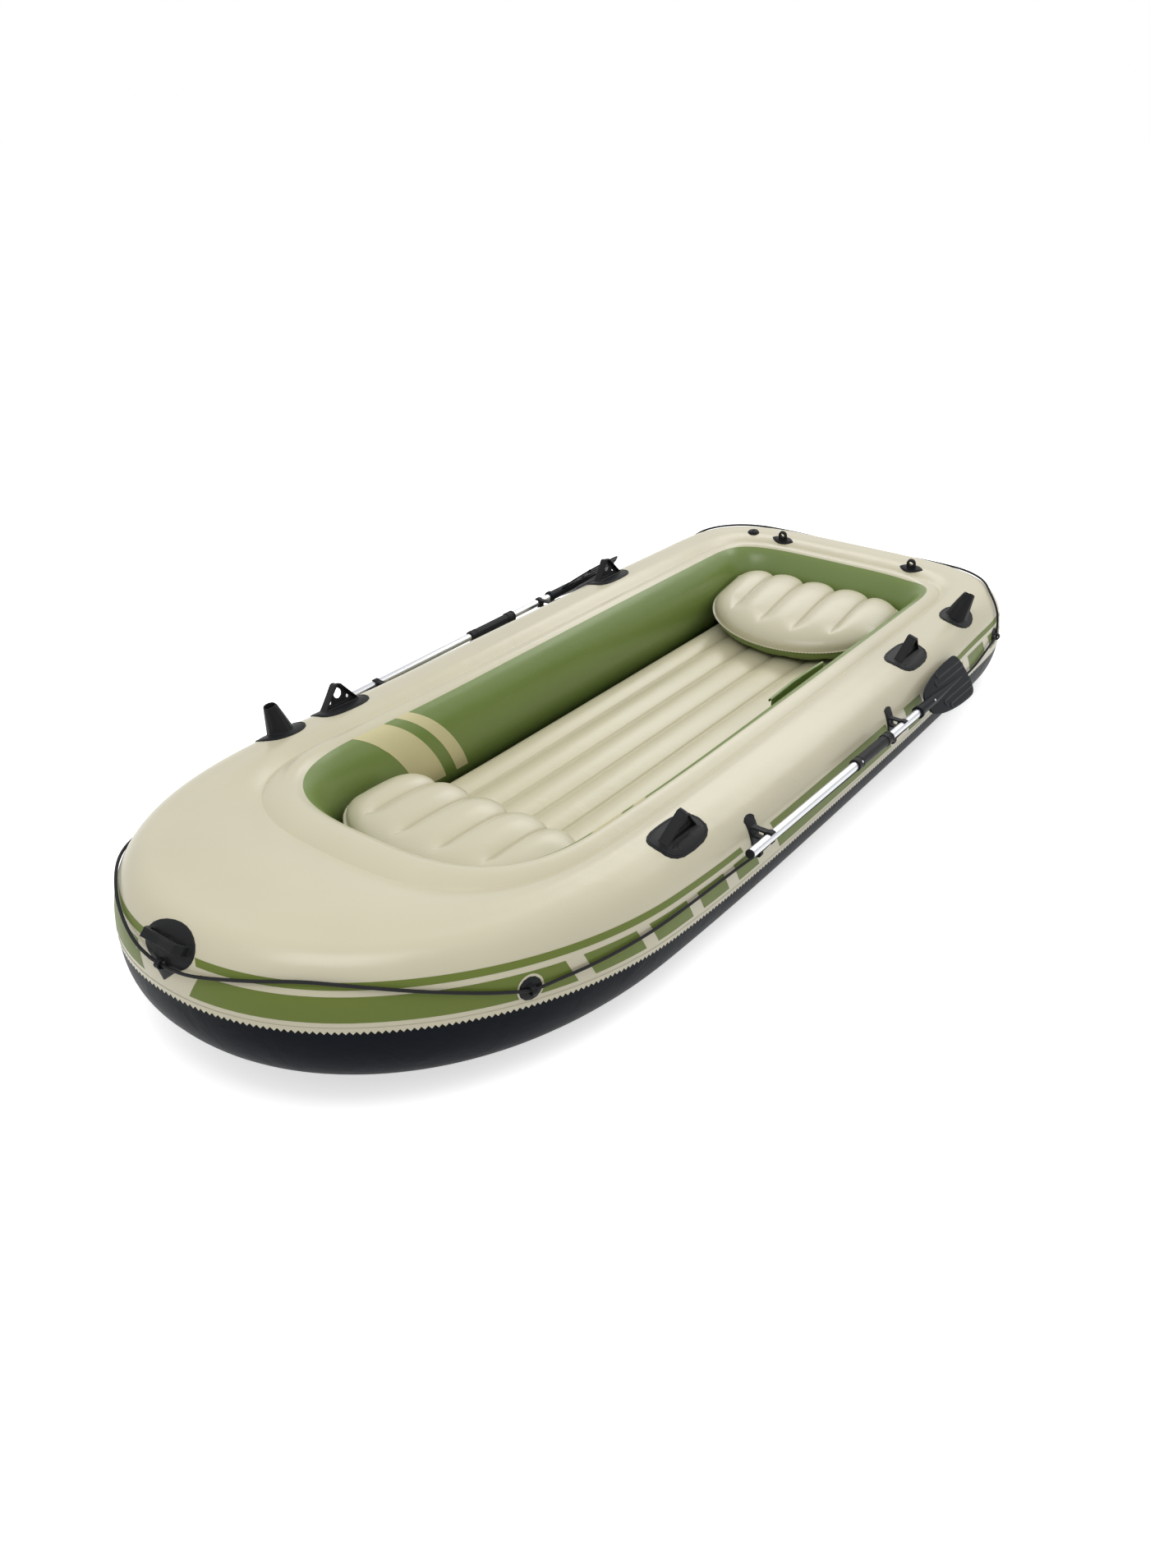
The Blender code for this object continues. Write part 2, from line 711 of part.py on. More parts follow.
def hull_skins(sections, rings, looks):
    count = len(sections)
    belly, tube, deck, ring, wall = rings
    seam = seam_angle()

    inner = [lifted(s.crest, 0) for s in sections]
    middle = [lifted(s.groove, 0) for s in sections]
    edge = [tube_point(s, seam, -CONTACT_GAP) for s in sections]
    rows = [inner, middle] + belly[:-1] + [edge]
    faces = grid_faces(len(rows), count, closed=True) + bottom_fill(0, count)
    level = row_indices(len(rows) - 1, count)
    shell("hull_bottom_skin", ring_rows(rows), faces, looks["navy"], level=level)

    groove = [deck_point(s, 1.0, CONTACT_GAP) for s in sections]
    rows = tube + deck[:-1] + [groove]
    last = len(rows) - 1
    level = [*row_indices(0, count), *row_indices(last, count)]
    shell("outer_top_skin", ring_rows(rows), grid_faces(len(rows), count, True), looks["beige"], level=level)

    edge = [wall_point(s, coaming_angle(s), -CONTACT_GAP) for s in sections]
    rows = ring + [edge]
    last = len(rows) - 1
    shell(
        "inner_deck_skin", ring_rows(rows), grid_faces(len(rows), count, True), looks["beige"],
        level=row_indices(0, count), upright=row_indices(last, count),
    )
    last = len(wall) - 1
    shell(
        "inner_wall_skin", ring_rows(wall), grid_faces(len(wall), count, True), looks["green"],
        upright=[*row_indices(0, count), *row_indices(last, count)],
    )
    low = [lifted(s.groove, INNER_BOTTOM) for s in sections]
    high = [lifted(s.groove, GROOVE_FLOOR - CONTACT_GAP) for s in sections]
    level = range(2 * count)
    shell("chamber_divider", low + high, grid_faces(2, count, True), looks["inside"], level=level)


# Floor


def floor_end(y, end, start, power):
    share = min(1.0, abs(y) / FLOOR_HALF)
    return start + (end - start) * (1 - share**power) ** (1 / power)


def floor_reach(y):
    return (
        floor_end(y, FLOOR_PLAN.stern_end, FLOOR_PLAN.stern_x, FLOOR_PLAN.stern_power),
        floor_end(y, FLOOR_PLAN.bow_end, FLOOR_PLAN.bow_x, FLOOR_PLAN.bow_power),
    )


def floor_columns():
    """Across the floor: a half wave for each channel, lower on the outer side of the outer ones."""
    columns = [(-FLOOR_HALF, FLOOR_RIM)]
    for channel in range(FLOOR_CHANNELS):
        middle = -FLOOR_HALF + CHANNEL_PITCH * (channel + 0.5)
        for step in range(1, CHANNEL_STEPS + 1):
            angle = math.pi * step / CHANNEL_STEPS
            y = middle - CHANNEL_PITCH / 2 * math.cos(angle)
            outside = abs(y) > FLOOR_HALF - CHANNEL_PITCH / 2
            base = FLOOR_RIM if outside else FLOOR_VALLEY
            columns.append((y, base + (FLOOR_TOP - base) * math.sin(angle)))
    return columns


def floor_rows(stern, bow, insets, middle):
    near = [stern + inset for inset in insets]
    far = [bow - inset for inset in insets[::-1]]
    between = [near[-1] + (far[0] - near[-1]) * i / (middle + 1) for i in range(1, middle + 1)]
    return near + between + far


def floor_sheet(columns, insets, middle, base, edge_shift):
    """Rows of points over the floor's outline, level with its rim at the edge."""
    points = []
    rows = len(insets) * 2 + middle
    lines = [floor_rows(*floor_reach(y), insets, middle) for y, _ in columns]
    for i in range(rows):
        for line, (y, z) in zip(lines, columns):
            inset = min(line[i] - line[0], line[-1] - line[i], FLOOR_END_ROUND)
            rounding = math.sqrt(max(0.0, 1 - (1 - inset / FLOOR_END_ROUND) ** 2))
            height = base + (z - base) * rounding + edge_shift
            points.append(Vector((line[i], y, height + hull_rise(line[i]))))
    return points, rows


def floor_chamber(looks):
    insets = [FLOOR_END_ROUND * share for share in FLOOR_END_ROWS]
    columns = floor_columns()
    points, rows = floor_sheet(columns, insets, FLOOR_STEPS, FLOOR_RIM, CONTACT_GAP / 2)
    faces = grid_faces(rows, len(columns))
    border = grid_border(rows, len(columns))
    shell("floor_top_skin", points, faces, looks["beige"], level=border)
    under = [(-FLOOR_HALF, FLOOR_RIM), (-FLOOR_HALF + FLOOR_END_ROUND / 4, FLOOR_UNDERSIDE)]
    under += [(0.0, FLOOR_UNDERSIDE)] + [(-y, z) for y, z in under[::-1]]
    low, low_rows = floor_sheet(under, insets, FLOOR_STEPS, FLOOR_RIM, -CONTACT_GAP / 2)
    shell(
        "floor_bottom_skin", low, grid_faces(low_rows, len(under), flip=True), looks["beige"],
        level=grid_border(low_rows, len(under)),
    )
    stations = spread(FLOOR_STERN + WEB_END_INSET, FLOOR_BOW - WEB_END_INSET, WEB_STEPS)
    for web in range(1, FLOOR_CHANNELS):
        y = -FLOOR_HALF + CHANNEL_PITCH * web + FILM / 2
        low_edge = FLOOR_UNDERSIDE + FILM + WEB_CLEARANCE
        high_edge = FLOOR_VALLEY - FILM - WEB_CLEARANCE
        line = [Vector((x, y, low_edge + hull_rise(x))) for x in stations]
        line += [Vector((x, y, high_edge + hull_rise(x))) for x in stations]
        shell(f"floor_web_{web}", line, grid_faces(2, len(stations)), looks["inside"])
    return points, faces


# Seats


def seat_columns():
    columns = [(-SEAT_HALF, 0.0)]
    for lobe in range(SEAT_LOBES):
        middle = -SEAT_HALF + LOBE_PITCH * (lobe + 0.5)
        for step in range(1, LOBE_STEPS + 1):
            angle = math.pi * step / LOBE_STEPS
            columns.append((middle - LOBE_PITCH / 2 * math.cos(angle), math.sin(angle)))
    return columns


def seat_skin(nose, height, shares):
    """Rows of points from the lobed edge at x = 0 to the round nose, with the seams sunk."""
    points = []
    columns = seat_columns()
    for share in shares:
        swell = (1 - abs(2 * share - 1) ** SEAT_PROFILE_POWER) ** (1 / SEAT_PROFILE_POWER)
        fade = min(1.0, max(0.0, (SEAT_SEAM_SHARE + SEAT_SEAM_FADE - share) / SEAT_SEAM_FADE))
        for y, lobe in columns:
            side = min(1.0, abs(y) / SEAT_HALF)
            back = SEAT_LOBE_BULGE * (1 - lobe) * (1 - side**2) + SEAT_CORNER * side**SEAT_CORNER_POWER
            front = SEAT_LOBE_LENGTH + nose * math.sqrt(1 - side**2)
            edge = math.sqrt(1 - side**SEAT_EDGE_POWER)
            seam = 1 - fade * SEAT_SEAM_DEPTH * (1 - lobe)
            points.append(Vector((back + (front - back) * share, y, height * swell * edge * seam)))
    return points, len(shares), len(columns)


def seat(name, x, nose, tilt, looks):
    top, rows, columns = seat_skin(nose, SEAT_CROWN, SEAT_TOP_ROWS)
    low, low_rows, low_columns = seat_skin(nose, -SEAT_BELLY, SEAT_LOW_ROWS)
    turn = Matrix.Rotation(math.radians(tilt), 4, "Y")
    height = 0.0
    for point in low:
        turned_point = turn @ point
        height = max(height, FLOOR_TOP + hull_rise(x + turned_point.x) - turned_point.z)
    frame = Matrix.Translation((x, 0, height + SEAT_REST_GAP)) @ turn
    rest = empty(f"{name}_place", frame)
    lift = Vector((0, 0, CONTACT_GAP / 2))
    top = [p + lift for p in top]
    low = [p - lift for p in low]
    border = grid_border(rows, columns)
    shell(f"{name}_top", top, grid_faces(rows, columns), looks["beige"], border, parent=rest)
    faces = grid_faces(low_rows, low_columns, flip=True)
    border = grid_border(low_rows, low_columns)
    shell(f"{name}_bottom", low, faces, looks["green"], border, parent=rest)
    seat_valve(f"{name}_valve", low, faces, nose, rest, looks)


def seat_valve(name, low, faces, nose, rest, looks):
    """A flat stem valve pressed into the hidden side, near the nose."""
    tree = BVHTree.FromPolygons([tuple(p) for p in low], faces)
    x = SEAT_LOBE_LENGTH + nose - SEAT_VALVE_INSET
    frame = place_on(tree, Vector((x, 0, -1)), Vector((0, 0, 1)), Vector((1, 0, 0)))
    made = patch(tree, frame, circle(SEAT_VALVE_RADIUS))
    normals = vertex_normals(low, faces)
    out = [p + n * CONTACT_GAP for p, n in zip(low, normals)]
    block = surface_block(out, faces, Vector((0, 0, SEAT_BELLY)))
    combine(made, block, "DIFFERENCE")
    made.name = name
    made.parent = rest
    finish(made, looks["black"])


# Fittings that follow the surface they are welded to


def surface_block(points, faces, depth):
    """A closed solid from this surface to a copy of it moved by depth, used to cut."""
    count = len(points)
    far = [p + depth for p in points]
    edges = {}
    for face in faces:
        for a, b in zip(face, face[1:] + face[:1]):
            edges[(a, b)] = True
    rim = [(b, a, a + count, b + count) for a, b in edges if (b, a) not in edges]
    back = [tuple(i + count for i in face[::-1]) for face in faces]
    return mesh_object("cutter", points + far, faces + back + rim)


def place_on(tree, origin, direction, along, reach=0.02):
    """A frame on the surface that the ray meets: u runs along, n points out of the surface."""
    centre = tree.ray_cast(origin, direction)[0]
    u = (along - direction * along.dot(direction)).normalized()
    v = direction.cross(u)
    across = []
    for axis in (u, v):
        ends = [tree.ray_cast(origin + axis * step, direction)[0] for step in (-reach, reach)]
        across.append((ends[1] - ends[0]).normalized())
    n = across[0].cross(across[1]).normalized()
    if n.dot(direction) > 0:
        n = -n
    u = (across[0] - n * across[0].dot(n)).normalized()
    v = n.cross(u)
    frame = Matrix((u, v, n)).transposed().to_4x4()
    frame.translation = centre
    return frame


def patch(tree, frame, outline):
    """A pad with this outline that follows the surface, its underside sunk below it."""
    normal = frame.col[2].to_3d()
    count = len(outline)
    points = [frame.translation + normal * PATCH_THICKNESS]
    for share, height in PATCH_ROWS:
        for first, second in outline:
            start = frame @ Vector((first * share, second * share, PATCH_REACH))
            hit = tree.ray_cast(start, -normal)[0]
            if hit is None:
                hit = frame @ Vector((first * share, second * share, 0))
            points.append(hit + normal * height)
    points += [p - normal * (PATCH_EDGE + PATCH_SINK) for p in points[-count:]]
    points.append(frame.translation - normal * PATCH_SINK)
    last = len(points) - 1
    faces = [(0, 1 + i, 1 + (i + 1) % count) for i in range(count)]
    bands = len(PATCH_ROWS)
    for k in range(bands):
        for i in range(count):
            a = 1 + k * count + i
            b = 1 + k * count + (i + 1) % count
            faces += [(a, a + count, b + count), (a, b + count, b)]
    start = 1 + bands * count
    faces += [(last, start + (i + 1) % count, start + i) for i in range(count)]
    return face_out(mesh_object("patch", points, faces))


def weld(name, pad, extras, cutter, surface):
    """The pad and its raised parts as one moulding, cut to sit on the hull."""
    for extra in extras:
        combine(pad, extra, "UNION")
    combine(pad, cutter, "DIFFERENCE", keep=True)
    pad.name = name
    pad.data.name = name
    return finish(pad, surface)


def triangle_outline(half, foot, top, radius):
    """A triangle with a rounded top, standing on a flat foot."""
    centre = (0.0, top - radius)
    lean = math.degrees(math.atan2(top - foot, half)) - OARLOCK_ARC_TRIM
    arc = circle(radius, ARC_SIDES, centre, 90.0 - lean, 90.0 + lean)
    return [(half, foot)] + arc + [(-half, foot)]


def oarlock(name, x, side, tree, cutter, looks):
    frame = place_on(tree, Vector((x, side * OARLOCK_Y, 1)), Vector((0, 0, -1)), Vector((1, 0, 0)))
    pad = patch(tree, frame, oval(*OARLOCK_BASE, OARLOCK_BASE_POWER))
    outline = triangle_outline(OARLOCK_HALF_LENGTH, -FOOT_SINK, OARLOCK_HEIGHT, OARLOCK_APEX_RADIUS)
    plate = prism(frame, outline, "v", -OARLOCK_FLANGE / 2, OARLOCK_FLANGE / 2)
    inner = triangle_outline(
        OARLOCK_HALF_LENGTH - OARLOCK_POCKET_INSET, PATCH_THICKNESS + OARLOCK_RIM / 2,
        OARLOCK_HEIGHT - OARLOCK_RIM, OARLOCK_APEX_RADIUS - OARLOCK_RIM,
    )
    for sign in (-1, 1):
        depths = sorted((sign * OARLOCK_WEB / 2, sign * OARLOCK_FLANGE))
        combine(plate, prism(frame, inner, "v", *depths), "DIFFERENCE")
    holes = [circle(OARLOCK_HOLE_RADIUS, ROUND_SIDES, (0.0, OARLOCK_HOLE_HEIGHT))]
    for sign in (-1, 1):
        spot = (sign * OARLOCK_SIDE_HOLE_X, OARLOCK_SIDE_HOLE_HEIGHT)
        holes.append(circle(OARLOCK_SIDE_HOLE_RADIUS, ARC_SIDES, spot))
    for hole in holes:
        combine(plate, prism(frame, hole, "v", -OARLOCK_FLANGE, OARLOCK_FLANGE), "DIFFERENCE")
    weld(name, pad, [plate], cutter, looks["black"])


def rod_holder(name, x, side, tilt, tree, cutter, looks):
    """A hollow cone on a pad, tilted outboard and aft by these angles."""
    frame = place_on(tree, Vector((x, side * ROD_HOLDER_Y, 1)), Vector((0, 0, -1)), Vector((1, 0, 0)))
    pad = patch(tree, frame, oval(*ROD_HOLDER_BASE, ROD_HOLDER_BASE_POWER))
    lean = frame @ Matrix.Rotation(math.radians(-side * tilt[0]), 4, "X")
    lean = lean @ Matrix.Rotation(math.radians(-tilt[1]), 4, "Y")
    turn = lean @ Matrix.Rotation(math.radians(-90), 4, "Y")
    profile = [(-FOOT_SINK, ROD_HOLDER_FOOT), (ROD_HOLDER_HEIGHT, ROD_HOLDER_RIM)]
    cone = capped("cone", profile, looks["black"])
    cone.data.transform(turn)
    socket = prism(lean, circle(ROD_SOCKET_RADIUS), "n", ROD_SOCKET_FLOOR, ROD_HOLDER_HEIGHT + CUT_MARGIN)
    combine(cone, socket, "DIFFERENCE")
    weld(name, pad, [cone], cutter, looks["black"])


def eye_outline(half_length, half_width):
    """A pointed oval made of two arcs."""
    radius = (half_length**2 + half_width**2) / (2 * half_width)
    sweep = math.degrees(math.asin(half_length / radius))
    upper = circle(radius, ARC_SIDES, (0, half_width - radius), 90 - sweep, 90 + sweep)
    return upper[:-1] + [(-u, -v) for u, v in upper[:-1]]


def motor_lug(name, side, tree, cutter, looks):
    origin = Vector((MOTOR_LUG_X, side * MOTOR_LUG_Y, 1))
    frame = place_on(tree, origin, Vector((0, 0, -1)), Vector((0, 1, 0)))
    pad = patch(tree, frame, eye_outline(*MOTOR_LUG_BASE))
    middle = MOTOR_LUG_HEIGHT - MOTOR_LUG_RADIUS
    outline = circle(MOTOR_LUG_RADIUS, ARC_SIDES, (0, middle), 0, 180)
    outline = [(MOTOR_LUG_RADIUS, -FOOT_SINK)] + outline + [(-MOTOR_LUG_RADIUS, -FOOT_SINK)]
    lug = prism(frame, outline, "v", -MOTOR_LUG_THICKNESS / 2, MOTOR_LUG_THICKNESS / 2)
    bore = circle(MOTOR_LUG_HOLE, ROUND_SIDES, (0, middle))
    drill = prism(frame, bore, "v", -MOTOR_LUG_THICKNESS, MOTOR_LUG_THICKNESS)
    combine(lug, drill, "DIFFERENCE")
    weld(name, pad, [lug], cutter, looks["black"])


def arch_outline(half, clearance, thickness, foot):
    """A bridge: two feet and a bar, with chamfered shoulders."""
    inner = half - thickness
    top = clearance + thickness
    return [
        (half, -foot), (half, clearance - thickness / 2), (half - thickness, top),
        (-half + thickness, top), (-half, clearance - thickness / 2), (-half, -foot),
        (-inner, -foot), (-inner, clearance - thickness), (-inner + thickness / 2, clearance),
        (inner - thickness / 2, clearance), (inner, clearance - thickness), (inner, -foot),
    ]


def loop_outline(centre, foot):
    """A round loop for the rope, open to the pad between its two legs."""
    inside = ROPE_RADIUS + LOOP_CLEARANCE
    outside = inside + LOOP_WALL
    outer = circle(outside, ARC_SIDES, (centre, ROPE_LOOP_LIFT), 0, 180)
    inner = circle(inside, ARC_SIDES, (centre, ROPE_LOOP_LIFT), 180, 0)
    legs = [(centre - outside, -foot), (centre - inside, -foot)]
    return outer + legs + inner + [(centre + inside, -foot), (centre + outside, -foot)]


def bow_fitting(tree, cutter, looks):
    frame = bow_frame(tree, BOW_FITTING_Z)
    outline = []
    for i in range(BOW_DISC_SIDES):
        angle = 2 * math.pi * i / BOW_DISC_SIDES
        tip = math.exp(-(((angle - 1.5 * math.pi) / BOW_TIP_WIDTH) ** 2))
        outline.append((BOW_DISC[0] * math.cos(angle), BOW_DISC[1] * math.sin(angle) - BOW_TIP * tip))
    pad = patch(tree, frame, outline)
    bar = arch_outline(BAR_HALF_LENGTH, BAR_CLEARANCE, BAR_THICKNESS, FOOT_SINK)
    bar = prism(frame, bar, "v", BAR_OFFSET - BAR_WIDTH / 2, BAR_OFFSET + BAR_WIDTH / 2)
    eye = bow_frame(tree, rope_bow_height(frame))
    loop = prism(eye, loop_outline(0.0, FOOT_SINK), "u", -LOOP_WIDTH / 2, LOOP_WIDTH / 2)
    weld("bow_handle", pad, [bar, loop], cutter, looks["black"])


def rope_bow_height(frame):
    return (frame @ Vector((0, EYE_OFFSET, 0))).z


def bow_frame(tree, height):
    """A frame on the tip of the bow at this height."""
    return place_on(tree, Vector((HULL_LENGTH, 0, height)), Vector((-1, 0, 0)), Vector((0, 1, 0)))


def side_frame(tree, x, side, height):
    """A frame on the hull's side at this place along it."""
    return place_on(tree, Vector((x, side * HULL_BEAM, height)), Vector((0, -side, 0)), Vector((1, 0, 0)))


def rope_grommet(name, spot, side, tree, cutter, looks):
    frame = side_frame(tree, spot[0], side, spot[1])
    pad = patch(tree, frame, circle(GROMMET_RADIUS))
    loop = prism(frame, loop_outline(0.0, FOOT_SINK), "u", -LOOP_WIDTH / 2, LOOP_WIDTH / 2)
    weld(name, pad, [loop], cutter, looks["black"])


# Grab rope


def oar_height(x, side):
    return TUBE_HEIGHT - OAR_DROPS[side] + OAR_SLOPES[side] * x


def rope_holds(side):
    """Places along one side of the hull where a loop holds the rope."""
    return (GROMMET_FORE_X,) + CLIP_PLACES[side] + (GROMMET_AFT_X,)


def level_run(x, height):
    """Two chosen points that keep the rope level as it passes through a loop."""
    return ((x + LOOP_WIDTH, height), (x - LOOP_WIDTH, height))


def rope_height(x, side, bow_height):
    """Height of the rope at this place along the hull, on a straight run between two chosen points."""
    keys = ((HULL_LENGTH / 2, bow_height),) + ROPE_BOW_HEIGHTS + level_run(*GROMMET_FORE)
    for clip in CLIP_PLACES[side]:
        keys += level_run(clip, oar_height(clip, side) - CLIP_EYE_DROP)
    keys += (ROPE_LOW_HEIGHT,) + level_run(*GROMMET_AFT) + ROPE_CORNER_HEIGHTS + ROPE_STERN_HEIGHTS
    for (x0, z0), (x1, z1) in zip(keys, keys[1:]):
        if x >= x1:
            share = min(1.0, max(0.0, (x - x0) / (x1 - x0)))
            return z0 + (z1 - z0) * share
    return keys[-1][1]


def station_at(x):
    """The place on the port side of the hull's outline with this x."""
    outline = OUTER_PLAN
    if x > outline.bow_x:
        share = (x - outline.bow_x) / (outline.bow_end - outline.bow_x)
        return "bow", math.asin(share ** (outline.bow_power / 2))
    if x < outline.stern_x:
        share = (outline.stern_x - x) / (outline.stern_x - outline.stern_end)
        return "stern", 2 * math.pi - math.asin(share ** (outline.stern_power / 2))
    return "port", (outline.bow_x - x) / (outline.bow_x - outline.stern_x)


def rope_order(station):
    """How far round the port side a place is: bow 0 to 1, side 1 to 2, stern 2 to 3."""
    kind, value = station
    if kind == "bow":
        return 1 - 2 * value / math.pi
    if kind == "port":
        return 1 + value
    return 2 + (2 * math.pi - value) * 2 / math.pi


def rope_places(holds):
    """Places along half of the rope, and whether a loop holds it there."""
    held = [x + step for x in holds for step in (LOOP_WIDTH, -LOOP_WIDTH)]
    places = [(station_at(x), True) for x in held]
    free = [("bow", angle) for angle in spread(math.pi / 2, 0, ROPE_BOW_STEPS)]
    free += [("port", share) for share in spread(0, 1, ROPE_SIDE_STEPS)[1:-1]]
    free += [("stern", angle) for angle in spread(2 * math.pi, 1.5 * math.pi, ROPE_STERN_STEPS)]
    for station in free:
        x = plan_point(OUTER_PLAN, station).x
        if min(abs(x - hold) for hold in holds) > ROPE_LOOP_REACH:
            places.append((station, rope_order(station) == 0))
    return sorted(places, key=lambda place: rope_order(place[0]))


def clear_of_hull(route, tree):
    """Moves the ends of each straight run out until the run clears the hull."""
    for _ in range(ROPE_CLEAR_ROUNDS):
        for a, b in zip(route, route[1:]):
            for share in ROPE_PROBES:
                point = a.lerp(b, share)
                spot, normal, _, _ = tree.find_nearest(point)
                short = ROPE_RADIUS + ROPE_CLEARANCE - (point - spot).dot(normal)
                if short > 0:
                    push = Vector((normal.x, 0 if b is route[-1] else normal.y, normal.z)) * short
                    a += push
                    b += push


def rope_half(side, tree, bow_height):
    """Half of the rope, from the bow to the stern, worked out on the port side."""
    half = []
    for station, held in rope_places(rope_holds(side)):
        section = section_at(station)
        across = section.across.to_3d()
        height = rope_height(section.outer.x, side, bow_height)
        start = Vector((section.outer.x, section.outer.y, height)) - across * SIDE_TUBE_WIDTH
        hit, normal, _, _ = tree.ray_cast(start, across)
        half.append(hit + normal * (ROPE_LOOP_LIFT if held else ROPE_LIFT))
    half[0].y = ROPE_END_GAP / 2
    half[-1].y = 0.0
    clear_of_hull(half, tree)
    return half


def grab_rope(tree, bow_height, looks):
    """A rope once round the hull, lying on its side and lifted where a loop holds it."""
    port = rope_half(PORT, tree, bow_height)
    starboard = rope_half(STARBOARD, tree, bow_height)
    route = port + [Vector((p.x, -p.y, p.z)) for p in starboard[-2::-1]]
    line = bpy.data.curves.new("grab_rope", "CURVE")
    line.dimensions = "3D"
    line.bevel_depth = ROPE_RADIUS
    line.bevel_resolution = 2
    line.use_fill_caps = True
    spline = line.splines.new("POLY")
    spline.points.add(len(route) - 1)
    for point, place in zip(spline.points, route):
        point.co = (*place, 1.0)
    made = bpy.data.objects.new("grab_rope", line)
    bpy.context.scene.collection.objects.link(made)
    line.materials.append(looks["black"])


# Oars


def shaft_frame(x, side):
    """A frame on the oar's axis: u to the bow, v out from the hull, n square to both."""
    u = Vector((1, 0, OAR_SLOPES[side])).normalized()
    v = Vector((0, side, 0))
    frame = Matrix((u, v, u.cross(v))).transposed().to_4x4()
    frame.translation = (x, side * OAR_Y, oar_height(x, side))
    return frame


def oar_clip(name, x, side, tree, cutter, looks):
    """A spring clip for the shaft on an oval pad, with a loop for the rope below it."""
    axis = shaft_frame(x, side)
    frame = side_frame(tree, x, side, axis.translation.z - CLIP_BASE_DROP)
    pad = patch(tree, frame, oval(*CLIP_BASE, CLIP_BASE_POWER))
    eye = side_frame(tree, x, side, axis.translation.z - CLIP_EYE_DROP)
    loop = prism(eye, loop_outline(0.0, FOOT_SINK), "u", -LOOP_WIDTH / 2, LOOP_WIDTH / 2)
    inside = TUBE_RADIUS + RUNNING_GAP
    outside = inside + CLIP_JAW
    foot = OAR_STANDOFF + TUBE_ROUND / 2
    leg = outside * math.sin(math.radians(CLIP_LEG_ANGLE))
    half = leg - CLIP_LEG
    back = -outside * math.cos(math.radians(CLIP_LEG_ANGLE))
    tunnel = -math.sqrt(outside**2 - half**2)
    outer = circle(outside, ARC_SIDES, (0, 0), CLIP_MOUTH, 180 - CLIP_LEG_ANGLE)
    inner = circle(inside, ROUND_SIDES, (0, 0), CLIP_MOUTH, 360 - CLIP_MOUTH)
    outline = outer + [(-foot, leg), (-foot, half), (tunnel, half), (-outside, 0), (tunnel, -half)]
    outline += [(-foot, -half), (-foot, -leg), (back, -leg)]
    outline += [(u, -v) for u, v in outer[-2::-1]] + inner[::-1]
    jaw = prism(axis, outline, "u", -CLIP_WIDTH / 2, CLIP_WIDTH / 2)
    weld(name, pad, [jaw, loop], cutter, looks["black"])


def button_cutter(x, direction, radius, parent):
    """A round bore through the shaft wall at x, towards this direction."""
    n = direction.normalized()
    u = Vector((1, 0, 0))
    frame = Matrix((u, n.cross(u), n)).transposed().to_4x4()
    frame.translation = (x, 0, 0)
    made = prism(frame, circle(radius), "n", TUBE_RADIUS / 2, 2 * BLADE_COLLAR_RADIUS)
    made.parent = parent
    bpy.context.view_layer.update()
    return made


def snap_button(name, x, direction, top, parent, looks):
    n = direction.normalized()
    frame = Matrix((n, Vector((1, 0, 0)), n.cross(Vector((1, 0, 0))))).transposed().to_4x4()
    frame.translation = Vector((x, 0, 0)) + n * top
    profile = [(-BUTTON_DEPTH, BUTTON_RADIUS), (BUTTON_PROUD - BUTTON_CHAMFER, BUTTON_RADIUS)]
    profile.append((BUTTON_PROUD, BUTTON_RADIUS - BUTTON_CHAMFER))
    made = capped(name, profile, looks["metal"], parent)
    made.matrix_local = frame


def blade_half_width(share):
    """Half the blade's width, from its neck at 0 to its tip at 1."""
    swell = math.sin(math.pi / 2 * min(1.0, share / BLADE_WIDEST)) ** BLADE_SWELL_POWER
    width = BLADE_NECK_HALF_WIDTH + (BLADE_HALF_WIDTH - BLADE_NECK_HALF_WIDTH) * swell
    tip = max(0.0, (share - BLADE_WIDEST) / (1 - BLADE_WIDEST))
    return width * (1 - tip**BLADE_TIP_POWER) ** (1 / BLADE_TIP_POWER)


def blade_outline():
    shares = [(1 - math.cos(angle)) / 2 for angle in spread(0, math.pi, BLADE_STEPS)][:-1]
    side = [(BLADE_SHOULDER + (BLADE_TIP - BLADE_SHOULDER) * s, blade_half_width(s)) for s in shares]
    return side + [(BLADE_TIP, 0.0)] + [(x, -width) for x, width in side[::-1]]


